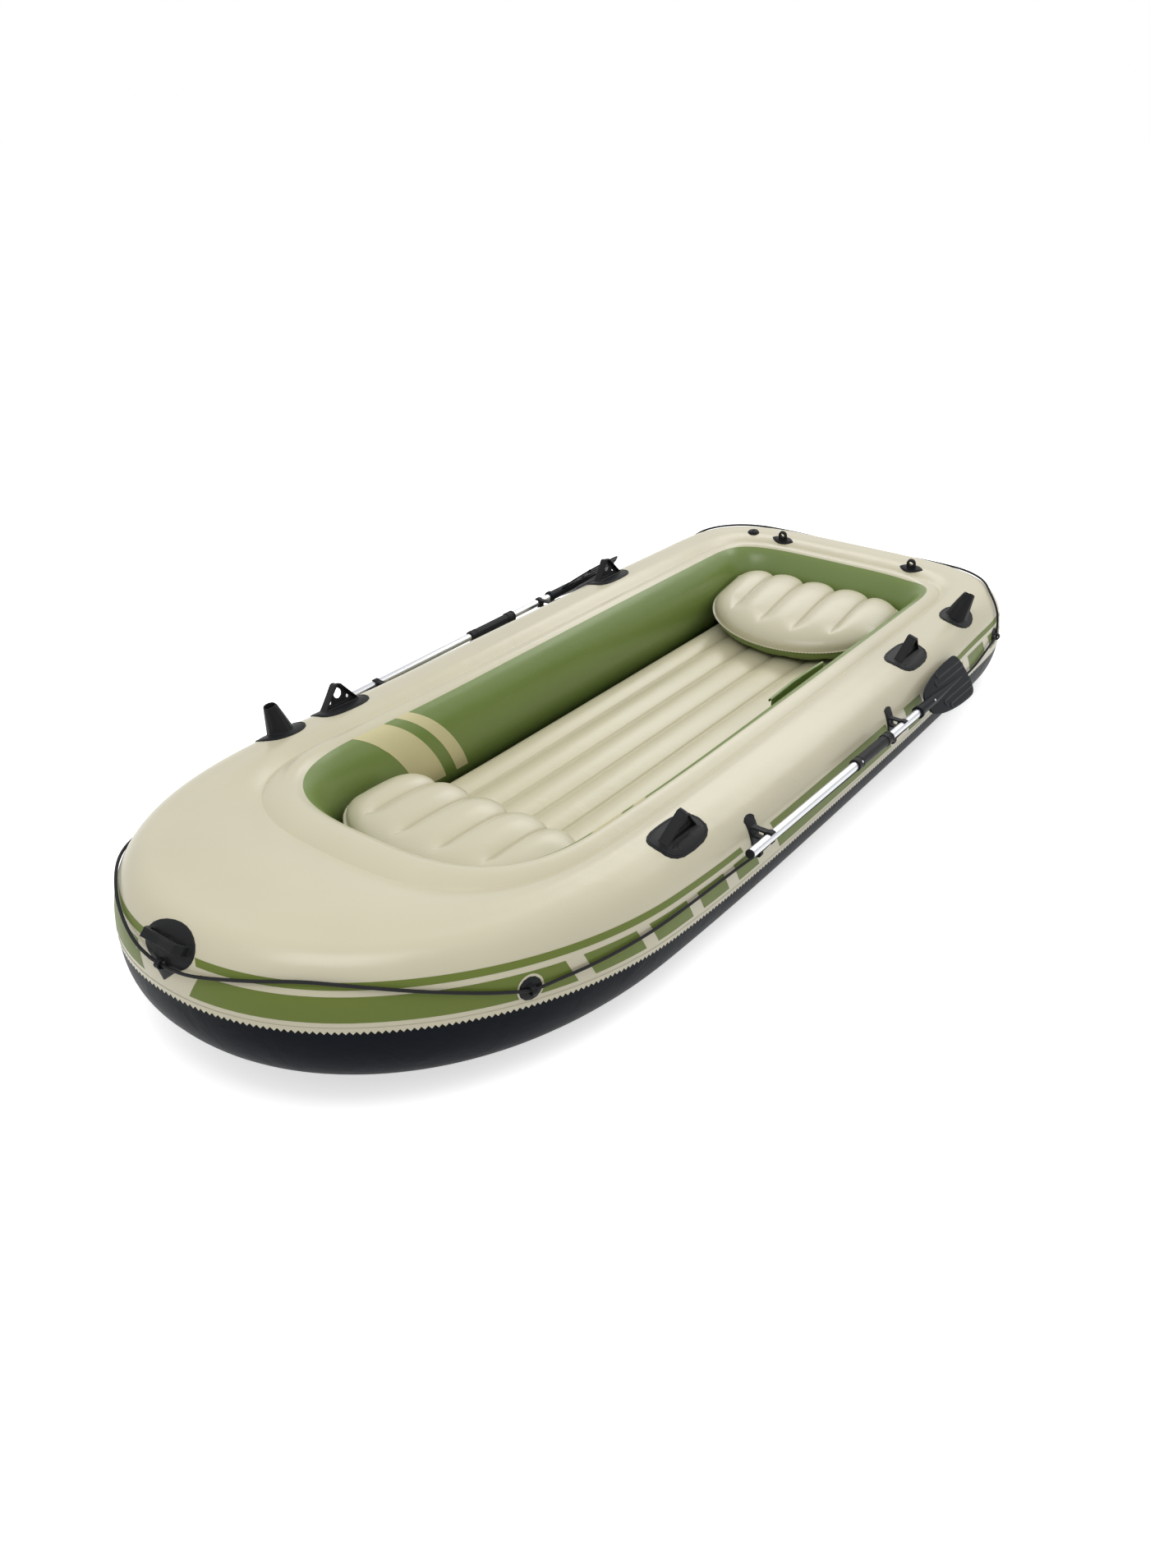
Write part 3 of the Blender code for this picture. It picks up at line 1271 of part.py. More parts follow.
def oar_blade(name, side, parent, looks):
    """Socket, spine, plate and two stiffening ribs, tilted to lie along the hull."""
    tilt = math.radians(BLADE_TILT) * side
    across = Vector((0, -math.sin(math.radians(BLADE_TILT)), math.cos(tilt) * side))
    out = Vector((1, 0, 0)).cross(across)
    out = out if out.y > 0 else -out
    frame = Matrix((Vector((1, 0, 0)), across, out)).transposed().to_4x4()
    if frame.determinant() < 0:
        frame = Matrix((Vector((1, 0, 0)), -across, out)).transposed().to_4x4()
    collar_end = BLADE_COLLAR_X - BLADE_COLLAR_LENGTH
    profile = [
        (BLADE_COLLAR_X, BLADE_COLLAR_RADIUS), (collar_end, BLADE_COLLAR_RADIUS),
        (collar_end, BLADE_NECK_RADIUS), (BLADE_SOCKET_END, BLADE_NECK_RADIUS),
        (BLADE_SPINE_END, BLADE_SPINE_TIP_RADIUS),
    ]
    made = capped(name, profile, looks["black"], parent)
    made.matrix_local = Matrix.Identity(4)
    half = BLADE_THICKNESS / 2
    plate = prism(frame, blade_outline(), "n", -half, half)
    extras = [plate]
    for sign in (-1, 1):
        middle = sign * BLADE_RIB_OFFSET
        low = middle - BLADE_RIB_WIDTH / 2
        high = middle + BLADE_RIB_WIDTH / 2
        rib = [(BLADE_RIB_END, low), (BLADE_RIB_END, high), (BLADE_SOCKET_END, high), (BLADE_SOCKET_END, low)]
        extras.append(prism(frame, rib, "n", -half - BLADE_RIB_HEIGHT, half + BLADE_RIB_HEIGHT))
    for extra in extras:
        extra.parent = parent
        bpy.context.view_layer.update()
        combine(made, extra, "UNION")
    bore = [(BLADE_COLLAR_X + BLADE_COLLAR_LENGTH, SOCKET_RADIUS), (BLADE_SOCKET_END, SOCKET_RADIUS)]
    combine(made, capped("bore", bore, looks["black"], parent), "DIFFERENCE")
    combine(made, button_cutter(BLADE_BUTTON_X, out, BUTTON_RADIUS + RUNNING_GAP, parent), "DIFFERENCE")
    finish(made, looks["black"])
    return out


def connector_profile():
    inside = SOCKET_RADIUS
    fore = CONNECTOR_FORE - CONNECTOR_COLLAR
    aft = CONNECTOR_AFT + CONNECTOR_COLLAR
    outer = [(CONNECTOR_FORE, inside), (CONNECTOR_FORE, CONNECTOR_COLLAR_RADIUS)]
    outer += [(fore, CONNECTOR_COLLAR_RADIUS), (fore, CONNECTOR_BARREL_RADIUS)]
    pitch = (aft - fore) / (CONNECTOR_RIBS + 1)
    for rib in range(1, CONNECTOR_RIBS + 1):
        middle = fore + pitch * rib
        half = pitch * CONNECTOR_RIB_SHARE / 2
        for x, height in ((-half, 0), (-half, 1), (half, 1), (half, 0)):
            outer.append((middle + x, CONNECTOR_BARREL_RADIUS + CONNECTOR_RIB * height))
    outer += [(aft, CONNECTOR_BARREL_RADIUS), (aft, CONNECTOR_COLLAR_RADIUS + CONNECTOR_RIB)]
    outer += [(CONNECTOR_AFT, CONNECTOR_COLLAR_RADIUS + CONNECTOR_RIB), (CONNECTOR_AFT, inside)]
    return outer


def tube_profile(fore, aft):
    inside = TUBE_RADIUS - TUBE_WALL
    return [(fore, inside), (fore, TUBE_RADIUS), (aft, TUBE_RADIUS), (aft, inside)]


def oar(prefix, side, looks):
    axis = empty(f"{prefix}_oar_axis", shaft_frame(0.0, side))
    middle = (CONNECTOR_FORE + CONNECTOR_AFT) / 2
    out = oar_blade(f"{prefix}_oar_blade", side, axis, looks)
    cap = GRIP_END - GRIP_CAP_LENGTH
    handle = tube_profile(cap - CONTACT_GAP, middle)
    handle = turned(f"{prefix}_oar_handle_tube", handle, looks["metal"], axis)
    lower = tube_profile(middle - 2 * CONTACT_GAP, BLADE_SOCKET_END + 2 * CONTACT_GAP)
    lower = turned(f"{prefix}_oar_lower_tube", lower, looks["metal"], axis)
    connector = turned(f"{prefix}_oar_connector", connector_profile(), looks["black"], axis)
    bore = BUTTON_RADIUS + RUNNING_GAP
    for piece in (handle, connector):
        bpy.context.view_layer.update()
        combine(piece, button_cutter(CONNECTOR_BUTTON_X, out, bore, axis), "DIFFERENCE")
    combine(lower, button_cutter(BLADE_BUTTON_X, out, bore, axis), "DIFFERENCE")
    for piece, look in ((handle, "metal"), (connector, "black"), (lower, "metal")):
        finish(piece, looks[look])
    snap_button(f"{prefix}_connector_button", CONNECTOR_BUTTON_X, out, CONNECTOR_COLLAR_RADIUS, axis, looks)
    snap_button(f"{prefix}_blade_button", BLADE_BUTTON_X, out, BLADE_NECK_RADIUS, axis, looks)
    plug = TUBE_RADIUS - TUBE_WALL - CONTACT_GAP
    profile = [(GRIP_END, TUBE_RADIUS - GRIP_CHAMFER), (GRIP_END - GRIP_CHAMFER, TUBE_RADIUS)]
    profile += [(cap, TUBE_RADIUS), (cap, plug), (cap - GRIP_PLUG_LENGTH, plug)]
    capped(f"{prefix}_oar_grip_cap", profile, looks["black"], axis)


# Valves and pouch


def screw_valve(prefix, frame, tree, cutter, looks):
    """A welded base ring and the screw cap in it."""
    pad = patch(tree, frame, circle(VALVE_RADIUS))
    rim = VALVE_CAP_RADIUS + VALVE_CAP_GAP
    boss = prism(frame @ OFF_TURN, circle((VALVE_RADIUS + rim) / 2), "n", -FOOT_SINK, VALVE_HEIGHT)
    combine(boss, pad, "UNION")
    bore = prism(frame @ OFF_TURN, circle(rim), "n", -PATCH_SINK - CUT_MARGIN, VALVE_HEIGHT + CUT_MARGIN)
    combine(boss, bore, "DIFFERENCE")
    weld(f"{prefix}_valve_base", boss, [], cutter, looks["black"])
    axis = empty(f"{prefix}_valve_axis", frame)
    identity = Matrix.Identity(4)
    cap = prism(identity, circle(VALVE_CAP_RADIUS), "n", VALVE_CAP_FLOOR, VALVE_CAP_HEIGHT)
    grip = oval(*VALVE_BAR, VALVE_BAR_POWER, ARC_SIDES)
    bar = prism(identity, grip, "n", VALVE_CAP_FLOOR * 2, VALVE_CAP_HEIGHT + VALVE_BAR_HEIGHT)
    combine(cap, bar, "UNION")
    cap.name = f"{prefix}_valve_cap"
    cap.parent = axis
    finish(cap, looks["black"])


def ribbon(line, thickness):
    """A closed outline round a line of points, the sheet's thickness to its left."""
    shifted = []
    for i, point in enumerate(line):
        before = Vector(line[max(0, i - 1)])
        after = Vector(line[min(len(line) - 1, i + 1)])
        along = (after - before).normalized()
        shifted.append((point[0] - along.y * thickness, point[1] + along.x * thickness))
    return list(line) + shifted[::-1]


def pouch(looks):
    """An open pocket on the port inner wall, its front edge rolled over."""
    back = COAMING_HALF - WALL_BULGE - POUCH_WALL_GAP
    front = back - POUCH_DEPTH
    middle = ((back + front) / 2, POUCH_BOTTOM + POUCH_DEPTH / 2)
    curve = circle(POUCH_DEPTH / 2, ARC_SIDES, middle, 360, 180)
    cuff = circle(POUCH_CUFF, ARC_SIDES, (front - POUCH_CUFF, POUCH_TOP), 0, POUCH_CUFF_TURN)
    sling = [(back, POUCH_TOP)] + curve + cuff
    made = prism(Matrix.Identity(4), ribbon(sling, -POUCH_SHEET), "u", POUCH_AFT, POUCH_FORE)
    made.name = "storage_pouch"
    finish(made, looks["green"])


def wall_stud(name, x, tree, cutter, looks):
    frame = place_on(tree, Vector((x, 0, STUD_Z)), Vector((0, 1, 0)), Vector((1, 0, 0)))
    pad = patch(tree, frame, circle(STUD_RADIUS))
    knob = prism(frame @ OFF_TURN, circle(STUD_KNOB_RADIUS), "n", -FOOT_SINK, STUD_HEIGHT)
    weld(name, pad, [knob], cutter, looks["black"])


# Whole boat


def build():
    clear_scene()
    looks = {
        "beige": material("beige_film", (0.64, 0.57, 0.43), 0.42),
        "green": material("green_film", (0.13, 0.20, 0.055), 0.40),
        "navy": material("navy_film", (0.010, 0.014, 0.022), 0.45),
        "inside": material("inside_film", (0.45, 0.42, 0.35), 0.55),
        "black": material("black_moulding", (0.012, 0.013, 0.015), 0.45),
        "metal": material("aluminium", (0.78, 0.79, 0.80), 0.28, 1.0),
    }
    sections = [section_at(s) for s in hull_stations(BOW_STEPS, SIDE_STEPS, STERN_STEPS)]
    rings = hull_rings(sections)
    hull_skins(sections, rings, looks)
    points, faces = contact_surface(rings, len(sections))
    tree = BVHTree.FromPolygons([tuple(p) for p in points], faces)
    cutter = mesh_object("contact_surface", points, faces)

    floor_points, floor_faces = floor_chamber(looks)
    front_x = FLOOR_BOW + FLOOR_END_GAP - FRONT_SEAT_GAP - SEAT_LOBE_LENGTH - FRONT_SEAT_NOSE
    seat("front_seat", front_x, FRONT_SEAT_NOSE, FRONT_SEAT_TILT, looks)
    rear_x = FLOOR_STERN - FLOOR_END_GAP + REAR_SEAT_GAP
    seat("rear_seat", rear_x, REAR_SEAT_NOSE, REAR_SEAT_TILT, looks)

    for end, x in (("fore", OARLOCK_FORE_X), ("aft", OARLOCK_AFT_X)):
        oarlock(f"oarlock_port_{end}", x, PORT, tree, cutter, looks)
        oarlock(f"oarlock_starboard_{end}", x, STARBOARD, tree, cutter, looks)
    rod_holder(
        "rod_holder_port", ROD_HOLDER_PORT_X, PORT, ROD_HOLDER_PORT_TILT, tree, cutter, looks
    )
    rod_holder(
        "rod_holder_starboard", ROD_HOLDER_STARBOARD_X, STARBOARD, ROD_HOLDER_STARBOARD_TILT,
        tree, cutter, looks,
    )

    bow_height = rope_bow_height(bow_frame(tree, BOW_FITTING_Z))
    bow_fitting(tree, cutter, looks)
    for prefix, side in (("port", PORT), ("starboard", STARBOARD)):
        motor_lug(f"motor_lug_{prefix}", side, tree, cutter, looks)
        rope_grommet(f"rope_grommet_{prefix}_fore", GROMMET_FORE, side, tree, cutter, looks)
        rope_grommet(f"rope_grommet_{prefix}_aft", GROMMET_AFT, side, tree, cutter, looks)
        for end, x in zip(("fore", "aft"), CLIP_PLACES[side]):
            oar_clip(f"oar_clip_{prefix}_{end}", x, side, tree, cutter, looks)
        oar(prefix, side, looks)
    grab_rope(tree, bow_height, looks)

    down = Vector((0, 0, -1))
    along = Vector((1, 0, 0))
    stern = place_on(tree, Vector((OUTER_VALVE_X, OUTER_VALVE_Y, 1)), down, along)
    screw_valve("outer", stern, tree, cutter, looks)
    wall = place_on(tree, Vector((INNER_VALVE_X, 0, INNER_VALVE_Z)), Vector((0, 1, 0)), along)
    screw_valve("inner", wall, tree, cutter, looks)
    floor_tree = BVHTree.FromPolygons([tuple(p) for p in floor_points], floor_faces)
    normals = vertex_normals(floor_points, floor_faces)
    lifted_floor = [p + n * CONTACT_GAP for p, n in zip(floor_points, normals)]
    block = surface_block(lifted_floor, floor_faces, Vector((0, 0, -FLOOR_TOP)))
    spot = Vector((FLOOR_VALVE_X, FLOOR_HALF - CHANNEL_PITCH / 2, 1))
    screw_valve("floor", place_on(floor_tree, spot, down, along), floor_tree, block, looks)
    pouch(looks)
    wall_stud("pouch_stud_fore", STUD_FORE_X, tree, cutter, looks)
    wall_stud("pouch_stud_aft", STUD_AFT_X, tree, cutter, looks)
    for tool in (cutter, block):
        bpy.data.objects.remove(tool, do_unlink=True)


build()
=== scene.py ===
"""Looks of the inflatable dinghy: films, welds, prints, mouldings, rope and oars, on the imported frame.

Metres. +X points to the bow, +Y to port, +Z up, as in the frame.
"""

import json
import math
from collections import namedtuple

import bmesh
import bpy
import numpy as np
from mathutils import Matrix, Vector, noise
from mathutils.bvhtree import BVHTree


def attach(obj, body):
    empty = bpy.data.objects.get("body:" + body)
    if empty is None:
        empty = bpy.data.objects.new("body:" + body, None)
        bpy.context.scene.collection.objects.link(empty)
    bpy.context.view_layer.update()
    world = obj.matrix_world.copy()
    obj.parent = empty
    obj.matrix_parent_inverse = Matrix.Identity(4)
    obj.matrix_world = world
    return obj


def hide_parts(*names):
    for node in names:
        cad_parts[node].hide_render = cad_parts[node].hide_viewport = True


# The photograph's camera, solved from the hull's outline
IMAGE_HEIGHT = 1909
FOCAL_PIXELS = 1503.12
SENSOR = 36.0
CAMERA_PLACE = Vector((2.88188, 1.95510, 1.99493))
CAMERA_FORWARD = Vector((-0.694, -0.519, -0.499))

# Hull, as in the part: plan outlines, then the section
HULL_LENGTH = 3.48
SIDE_BARREL = 0.016
BARREL_SPAN = 1.2
BARREL_CENTRE = -0.195
TUBE_HEIGHT = 0.348
TUBE_ROUND = 0.134
TUBE_POWER = 2.4
SEAM_HEIGHT = 0.172
DECK_CROWN = 0.012
CROWN_SPAN = 0.36
BOW_RISE = 0.096
RISE_START = 0.2
GROOVE_DEPTH = 0.023
GROOVE_EASE = 3
GROOVE_ROUND = 0.006
CREST_SHARE = 0.6
CREST_DROP = 0.003
WALL_BULGE = 0.063
INNER_BOTTOM = 0.0012
RING_TOP = TUBE_HEIGHT - CREST_DROP
PORT_WALL_RISE = math.radians(11)
PORT_WALL_START = 0.30
PORT_WALL_REACH = 0.12

# The seam between navy and beige runs a little lower amidships than at the bow and the stern
SEAM_BOW = 0.012
SEAM_SIDE_DROP = 0.045
SEAM_SIDE_START = 0.45
SEAM_SIDE_REACH = 1.2
SEAM_STERN_RISE = 0.023
SEAM_STERN_START = 2.7
SEAM_STERN_REACH = 0.7

# Pinked edge, prints and stripes. Along is measured from the bow tip, up from the seam.
PINK_PITCH = 0.015
PINK_TOP = 0.007
PINK_VALLEY = -0.002
PINK_TIP = -0.0105
EDGE_LIFT = 0.0006
PRINT_LIFT = 0.0004
PRINT_STEP = 0.03
PRINT_ROWS = 4
PRINT_SLANT = 0.55
PRINT_MIDDLE = 0.05
THIN_BAND = (0.098, 0.116)
LOW_BAND = (0.020, 0.083)
TALL_BAND = (0.018, 0.117)
THIN_STRIPES = ((0.117, 1.657), (2.86, 3.60))
LONG_BLOCK = (0.0906, 0.952)
LONG_BLOCK_SLANT = -0.47
LOW_BLOCKS = (
    (1.004, 1.176), (1.223, 1.375), (1.424, 1.546), (1.597, 1.700),
    (2.85, 3.00), (3.05, 3.15), (3.199, 3.346), (3.40, 3.55),
)
TALL_BLOCKS = ((1.811, 2.536), (2.672, 2.80))
WALL_STRIPES = ((0.768, 0.64), (0.590, 0.535))
WALL_SLANT = 0.18
WALL_STRIPE_LOW = math.radians(-30)

# Floor and seats, as in the part
FLOOR_CHANNELS = 6
FLOOR_TOP = 0.110
FLOOR_VALLEY = 0.088
FLOOR_RIM = 0.050
FLOOR_UNDERSIDE = 0.007
FLOOR_HALF = 0.35
FLOOR_BOW = 1.037
FLOOR_BOW_X = FLOOR_BOW - 0.42 + WALL_BULGE
FLOOR_STERN = -1.342
FLOOR_STERN_X = FLOOR_STERN + 0.275 - WALL_BULGE
FLOOR_END_ROUND = 0.09
FLOOR_ROWS = 60
CHANNEL_STEPS = 12
WELD_WIDTH = 0.007
WELD_RISE = 0.004
SEAT_LOBES = 5
SEAT_HALF = 0.34
SEAT_LOBE_LENGTH = 0.195
SEAT_CROWN = 0.064
SEAT_BELLY = 0.083
SEAT_LOBE_BULGE = 0.04
SEAT_CORNER = 0.05
SEAT_CORNER_POWER = 6.0
SEAT_SEAM_DEPTH = 0.42
SEAT_SEAM_SHARE = 0.70
BELLY_SEAM_SHARE = 0.84
SEAT_SEAM_FADE = 0.20
SEAT_PROFILE_POWER = 2.6
SEAT_EDGE_POWER = 5.0
FRONT_SEAT_PLACE = (0.635, 0.0, 0.20567)
FRONT_SEAT_NOSE = 0.20
FRONT_SEAT_TILT = -1.5
REAR_SEAT_PLACE = (-1.352, 0.0, 0.25029)
REAR_SEAT_NOSE = 0.26
REAR_SEAT_TILT = 11.0
SEAT_ROWS = 36
LOBE_STEPS = 12
RIM_PITCH = 0.012
RIM_TIP = 0.010
RIM_VALLEY = 0.006

# Mouldings
CAST_HEIGHT = 0.25
LONGEST_EDGE = 0.008
REFINE_ROUNDS = 6
BURY_BELOW = 0.0005
BURY_DEPTH = 0.006
ROUNDING = 6
THINNING = 0.3
CLIP_REACH = 0.012
CLIP_PAD_DROP = 0.014
CLIP_PAD_HALF = 0.060
CLIP_PAD_HEIGHT = 0.005
CLIP_PAD_POWER = 3.4
BOW_OUT = Vector((0.796, 0.0, 0.605))
OARLOCKS = (0.642, -0.74)
OARLOCK_LIP = (0.092, 0.048, 2.9)
ROD_HOLDERS = {1: -1.17, -1: 0.874}
ROD_HOLDER_LIP = (0.075, 0.049, 2.2)
DECK_FITTING_Y = 0.60
LIP_RADIUS = 0.0012
LIP_POINTS = 72
PALE_RING = (0.027, 0.0345)
PALE_RING_LIFT = 0.0007

# Oars, as in the part: one line for each side
OAR_Y = 0.735
OAR_HEIGHTS = {1: 0.262, -1: 0.284}
OAR_SLOPES = {1: 0.022, -1: -0.015}
OAR_SIDES = 48
SHAFT_RADIUS = 0.013
SHAFT_WALL = 0.0012
SOCKET_RADIUS = 0.0133
GRIP_END = 0.510
GRIP_CAP = 0.005
GRIP_PLUG = 0.0115
SHAFT_SPLIT = -0.2175
SHAFT_END = -0.6794
CONNECTOR_FORE = -0.100
CONNECTOR_AFT = -0.335
COLLAR = 0.036
COLLAR_RADIUS = 0.0185
AFT_COLLAR_RADIUS = 0.0197
BARREL_RADIUS = 0.0158
COLLAR_GROOVE = 0.0014
FLUTES = 10
FLUTE_HEIGHT = 0.0016
BLADE_COLLAR = (-0.550, -0.566)
BLADE_COLLAR_RADIUS = 0.0205
BLADE_NECK_RADIUS = 0.0168
BLADE_SOCKET_END = -0.680
BLADE_SPINE_END = -0.915
BLADE_SPINE_TIP = 0.004
BLADE_SHOULDER = -0.625
BLADE_TIP = -0.955
BLADE_HALF = 0.075
BLADE_NECK_HALF = 0.020
BLADE_WIDEST = 0.80
BLADE_SWELL_POWER = 0.45
BLADE_TIP_POWER = 4.0
BLADE_HALF_THICKNESS = 0.003
BLADE_TILT = math.radians(37.4)
BLADE_ROWS = 120
BLADE_COLUMNS = 110
RIDGE_HEIGHT = 0.0022
RIDGE_WIDTH = 0.0024
RIDGE_START = -0.942
RIDGE_ENDS = ((0.026, -0.735), (0.047, -0.765))
RIDGE_HOOK = 0.008

# Pouch on the port wall
POUCH_FORE = -0.350
POUCH_AFT = -0.714
POUCH_BACK = 0.3596
POUCH_DEPTH = 0.034
POUCH_TOP = 0.250
POUCH_BOTTOM = 0.132
POUCH_SWELL = 0.006
POUCH_CUFF = 0.006
POUCH_CUFF_TURN = math.radians(250)
POUCH_SHEET = 0.0015
POUCH_ROWS = 24
POUCH_COLUMNS = 60
POUCH_RIPPLE = 0.0012

# Grab rope: the part's own points, as place along the hull and height
ROPE_RADIUS = 0.004
ROPE_LIFT = 0.0065
ROPE_LOOP_LIFT = 0.0105
LOOP_REACH = 0.035
LOOP_WIDTH = 0.014
ROPE_END_GAP = 0.001
ROPE_CAST = 0.215
ROPE_STEPS = 1500
ROPE_SIDES = 12
ROPE_EASING = 500
ROPE_PIN = 0.03
BRAID_PITCH = 0.0105
BRAID_DEPTH = 0.14
ROPE_BOW_KEYS = ((1.74, 0.3496), (1.718, 0.367), (1.65, 0.380), (1.55, 0.357), (1.42, 0.317))
ROPE_GROMMET_FORE = (1.242, 0.258)
ROPE_CLIPS = {1: (0.400, -0.440), -1: (0.360, -0.490)}
ROPE_CLIP_DROP = 0.062
ROPE_LOW_KEY = (-1.14, 0.178)
ROPE_GROMMET_AFT = (-1.36, 0.220)
ROPE_CORNER_KEYS = ((-1.425, 0.283), (-1.455, 0.318), (-1.50, 0.335), (-1.69, 0.335))
ROPE_STERN_KEYS = ((-1.737, 0.318), (-1.74, 0.310))

# Light
SKY_LOW = 0.42
SKY_HIGH = 0.80
SKY_REACH = 0.75
KEY_PLACE = (2.0, 0.6, 3.4)
KEY_AIM = (0.4, 0.0, 0.2)
KEY_SIZE = (2.0, 2.0)
KEY_POWER = 44
BACK_PLACE = (-3.6, 0.0, 3.0)
BACK_AIM = (0.0, 0.0, 0.2)
BACK_SIZE = (5.0, 1.2)
BACK_POWER = 66
FLOOR_LIFT = 0.58
FLOOR_REACH = 40.0
FLOOR_Z = -0.001

# Fineness
QUARTER_STEPS = 44
BELLY_STEPS = 16
TUBE_STEPS = 20
DECK_STEPS = 14
RING_STEPS = 8
WALL_STEPS = 22

Plan = namedtuple("Plan", "half bow_end bow_x bow_power stern_end stern_x stern_power")
OUTER = Plan(0.70, 1.74, 0.768, 2.13, -1.74, -1.158, 3.675)
GROOVE = Plan(0.485, 1.248, 0.75, 2.8, -1.49, -1.15, 4.3)
COAMING = Plan(0.425, 1.12, 0.70, 3.0, -1.425, -1.15, 4.5)
Section = namedtuple("Section", "outer groove crest coaming across inward ring bulge")

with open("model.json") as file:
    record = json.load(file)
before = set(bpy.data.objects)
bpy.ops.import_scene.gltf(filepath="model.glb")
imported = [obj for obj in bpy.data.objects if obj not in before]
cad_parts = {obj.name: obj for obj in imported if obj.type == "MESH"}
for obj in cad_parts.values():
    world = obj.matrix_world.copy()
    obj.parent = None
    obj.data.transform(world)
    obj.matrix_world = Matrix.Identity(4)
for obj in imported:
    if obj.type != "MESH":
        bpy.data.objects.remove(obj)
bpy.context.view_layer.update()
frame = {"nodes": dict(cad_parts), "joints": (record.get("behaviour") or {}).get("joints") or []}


# Hull formulas. A turn runs 0 at the bow tip, 1 and 2 at the port shoulders, 3 at the stern tip, back to 6.


def powered(value, power):
    return math.copysign(abs(value) ** (2 / power), value)


def eased(value):
    share = min(1.0, max(0.0, value))
    return share * share * (3 - 2 * share)


def plan_point(outline, turn):
    side = 1 if turn <= 3 else -1
    t = turn if turn <= 3 else 6 - turn
    if t <= 1:
        angle = math.pi / 2 * (1 - t)
        reach = outline.bow_end - outline.bow_x
        x = outline.bow_x + reach * powered(math.sin(angle), outline.bow_power)
        y = outline.half * powered(math.cos(angle), outline.bow_power)
    elif t <= 2:
        x = outline.bow_x + (outline.stern_x - outline.bow_x) * (t - 1)
        y = outline.half
    else:
        angle = math.pi / 2 * (t - 2)
        reach = outline.stern_end - outline.stern_x
        x = outline.stern_x + reach * powered(math.sin(angle), outline.stern_power)
        y = outline.half * powered(math.cos(angle), outline.stern_power)
    return Vector((x, side * y * (1 - SIDE_BARREL * ((x - BARREL_CENTRE) / BARREL_SPAN) ** 2)))


def section_at(turn):
    outer, groove, coaming = (plan_point(p, turn) for p in (OUTER, GROOVE, COAMING))
    crest = groove.lerp(coaming, CREST_SHARE)
    across = (groove - outer).normalized()
    inward = (coaming - groove).normalized()
    bulge = (coaming - crest).length + WALL_BULGE
    return Section(outer, groove, crest, coaming, across, inward, (crest - groove).length, bulge)


def hull_rise(x):
    return BOW_RISE * max(0.0, (x - RISE_START) / (HULL_LENGTH / 2 - RISE_START)) ** 2


def lifted(flat, z):
    return Vector((flat.x, flat.y, z + hull_rise(flat.x)))


def tube_point(section, angle):
    inset = TUBE_ROUND * (1 - powered(math.cos(angle), TUBE_POWER))
    z = TUBE_HEIGHT / 2 * (1 + powered(math.sin(angle), TUBE_POWER))
    return lifted(section.outer + section.across * inset, z)


def groove_drop(section, share):
    """The fall from the deck to the groove, rounded at the bottom."""
    span = (section.groove - section.outer).length - TUBE_ROUND
    left = math.hypot((1 - share) * span, GROOVE_ROUND)
    return GROOVE_DEPTH * max(0.0, 1 - left / span) ** GROOVE_EASE


def deck_point(section, share):
    span = (section.groove - section.outer).length - TUBE_ROUND
    crown = DECK_CROWN * math.sin(math.pi * share) * min(1.0, span / CROWN_SPAN)
    z = TUBE_HEIGHT - groove_drop(section, share) + crown
    return lifted(section.outer + section.across * (TUBE_ROUND + span * share), z)


def ring_point(section, angle):
    flat = section.crest - section.inward * section.ring * math.cos(angle)
    low = TUBE_HEIGHT - groove_drop(section, 1.0)
    return lifted(flat, low + (RING_TOP - low) * math.sin(angle) ** 2)


def wall_point(section, angle):
    flat = section.crest + section.inward * section.bulge * math.cos(angle)
    return lifted(flat, INNER_BOTTOM + (RING_TOP - INNER_BOTTOM) * (1 + math.sin(angle)) / 2)


def coaming_angle(section):
    """Where the green wall starts, which the photograph shows a little higher to port."""
    angle = math.acos((section.coaming - section.crest).length / section.bulge)
    return angle + PORT_WALL_RISE * eased((section.coaming.y - PORT_WALL_START) / PORT_WALL_REACH)


def spread(low, high, steps):
    return [low + (high - low) * i / steps for i in range(steps + 1)]


# Distance along the outline from the bow tip, and distance up the section from its widest place

HALF_TURNS = np.linspace(0, 3, 1201)
_line = np.array([plan_point(OUTER, t) for t in HALF_TURNS])
HALF_ALONG = np.concatenate([[0], np.cumsum(np.linalg.norm(np.diff(_line, axis=0), axis=1))])
HALF_LENGTH = float(HALF_ALONG[-1])
ANGLES = np.linspace(-math.pi / 2, math.pi / 2, 1441)
_inset = TUBE_ROUND * (1 - np.cos(ANGLES) ** (2 / TUBE_POWER))
_height = TUBE_HEIGHT / 2 * (1 + np.sign(ANGLES) * np.abs(np.sin(ANGLES)) ** (2 / TUBE_POWER))
_steps = np.hypot(np.diff(_inset), np.diff(_height))
ARCS = np.concatenate([[0], np.cumsum(_steps)])


def along_at(turn):
    return float(np.interp(turn if turn <= 3 else 6 - turn, HALF_TURNS, HALF_ALONG))


def turn_at(along, side):
    turn = float(np.interp(along, HALF_ALONG, HALF_TURNS))
    return turn if side > 0 else (6 - turn) % 6


def seam_angle(along):
    """Where the navy sheet ends on the section, at this distance from the bow tip."""
    drop = SEAM_SIDE_DROP * eased((along - SEAM_SIDE_START) / SEAM_SIDE_REACH)
    back = SEAM_STERN_RISE * eased((along - SEAM_STERN_START) / SEAM_STERN_REACH)
    level = 2 * (SEAM_HEIGHT + SEAM_BOW - drop + back) / TUBE_HEIGHT - 1
    return math.asin(math.copysign(abs(level) ** (TUBE_POWER / 2), level))


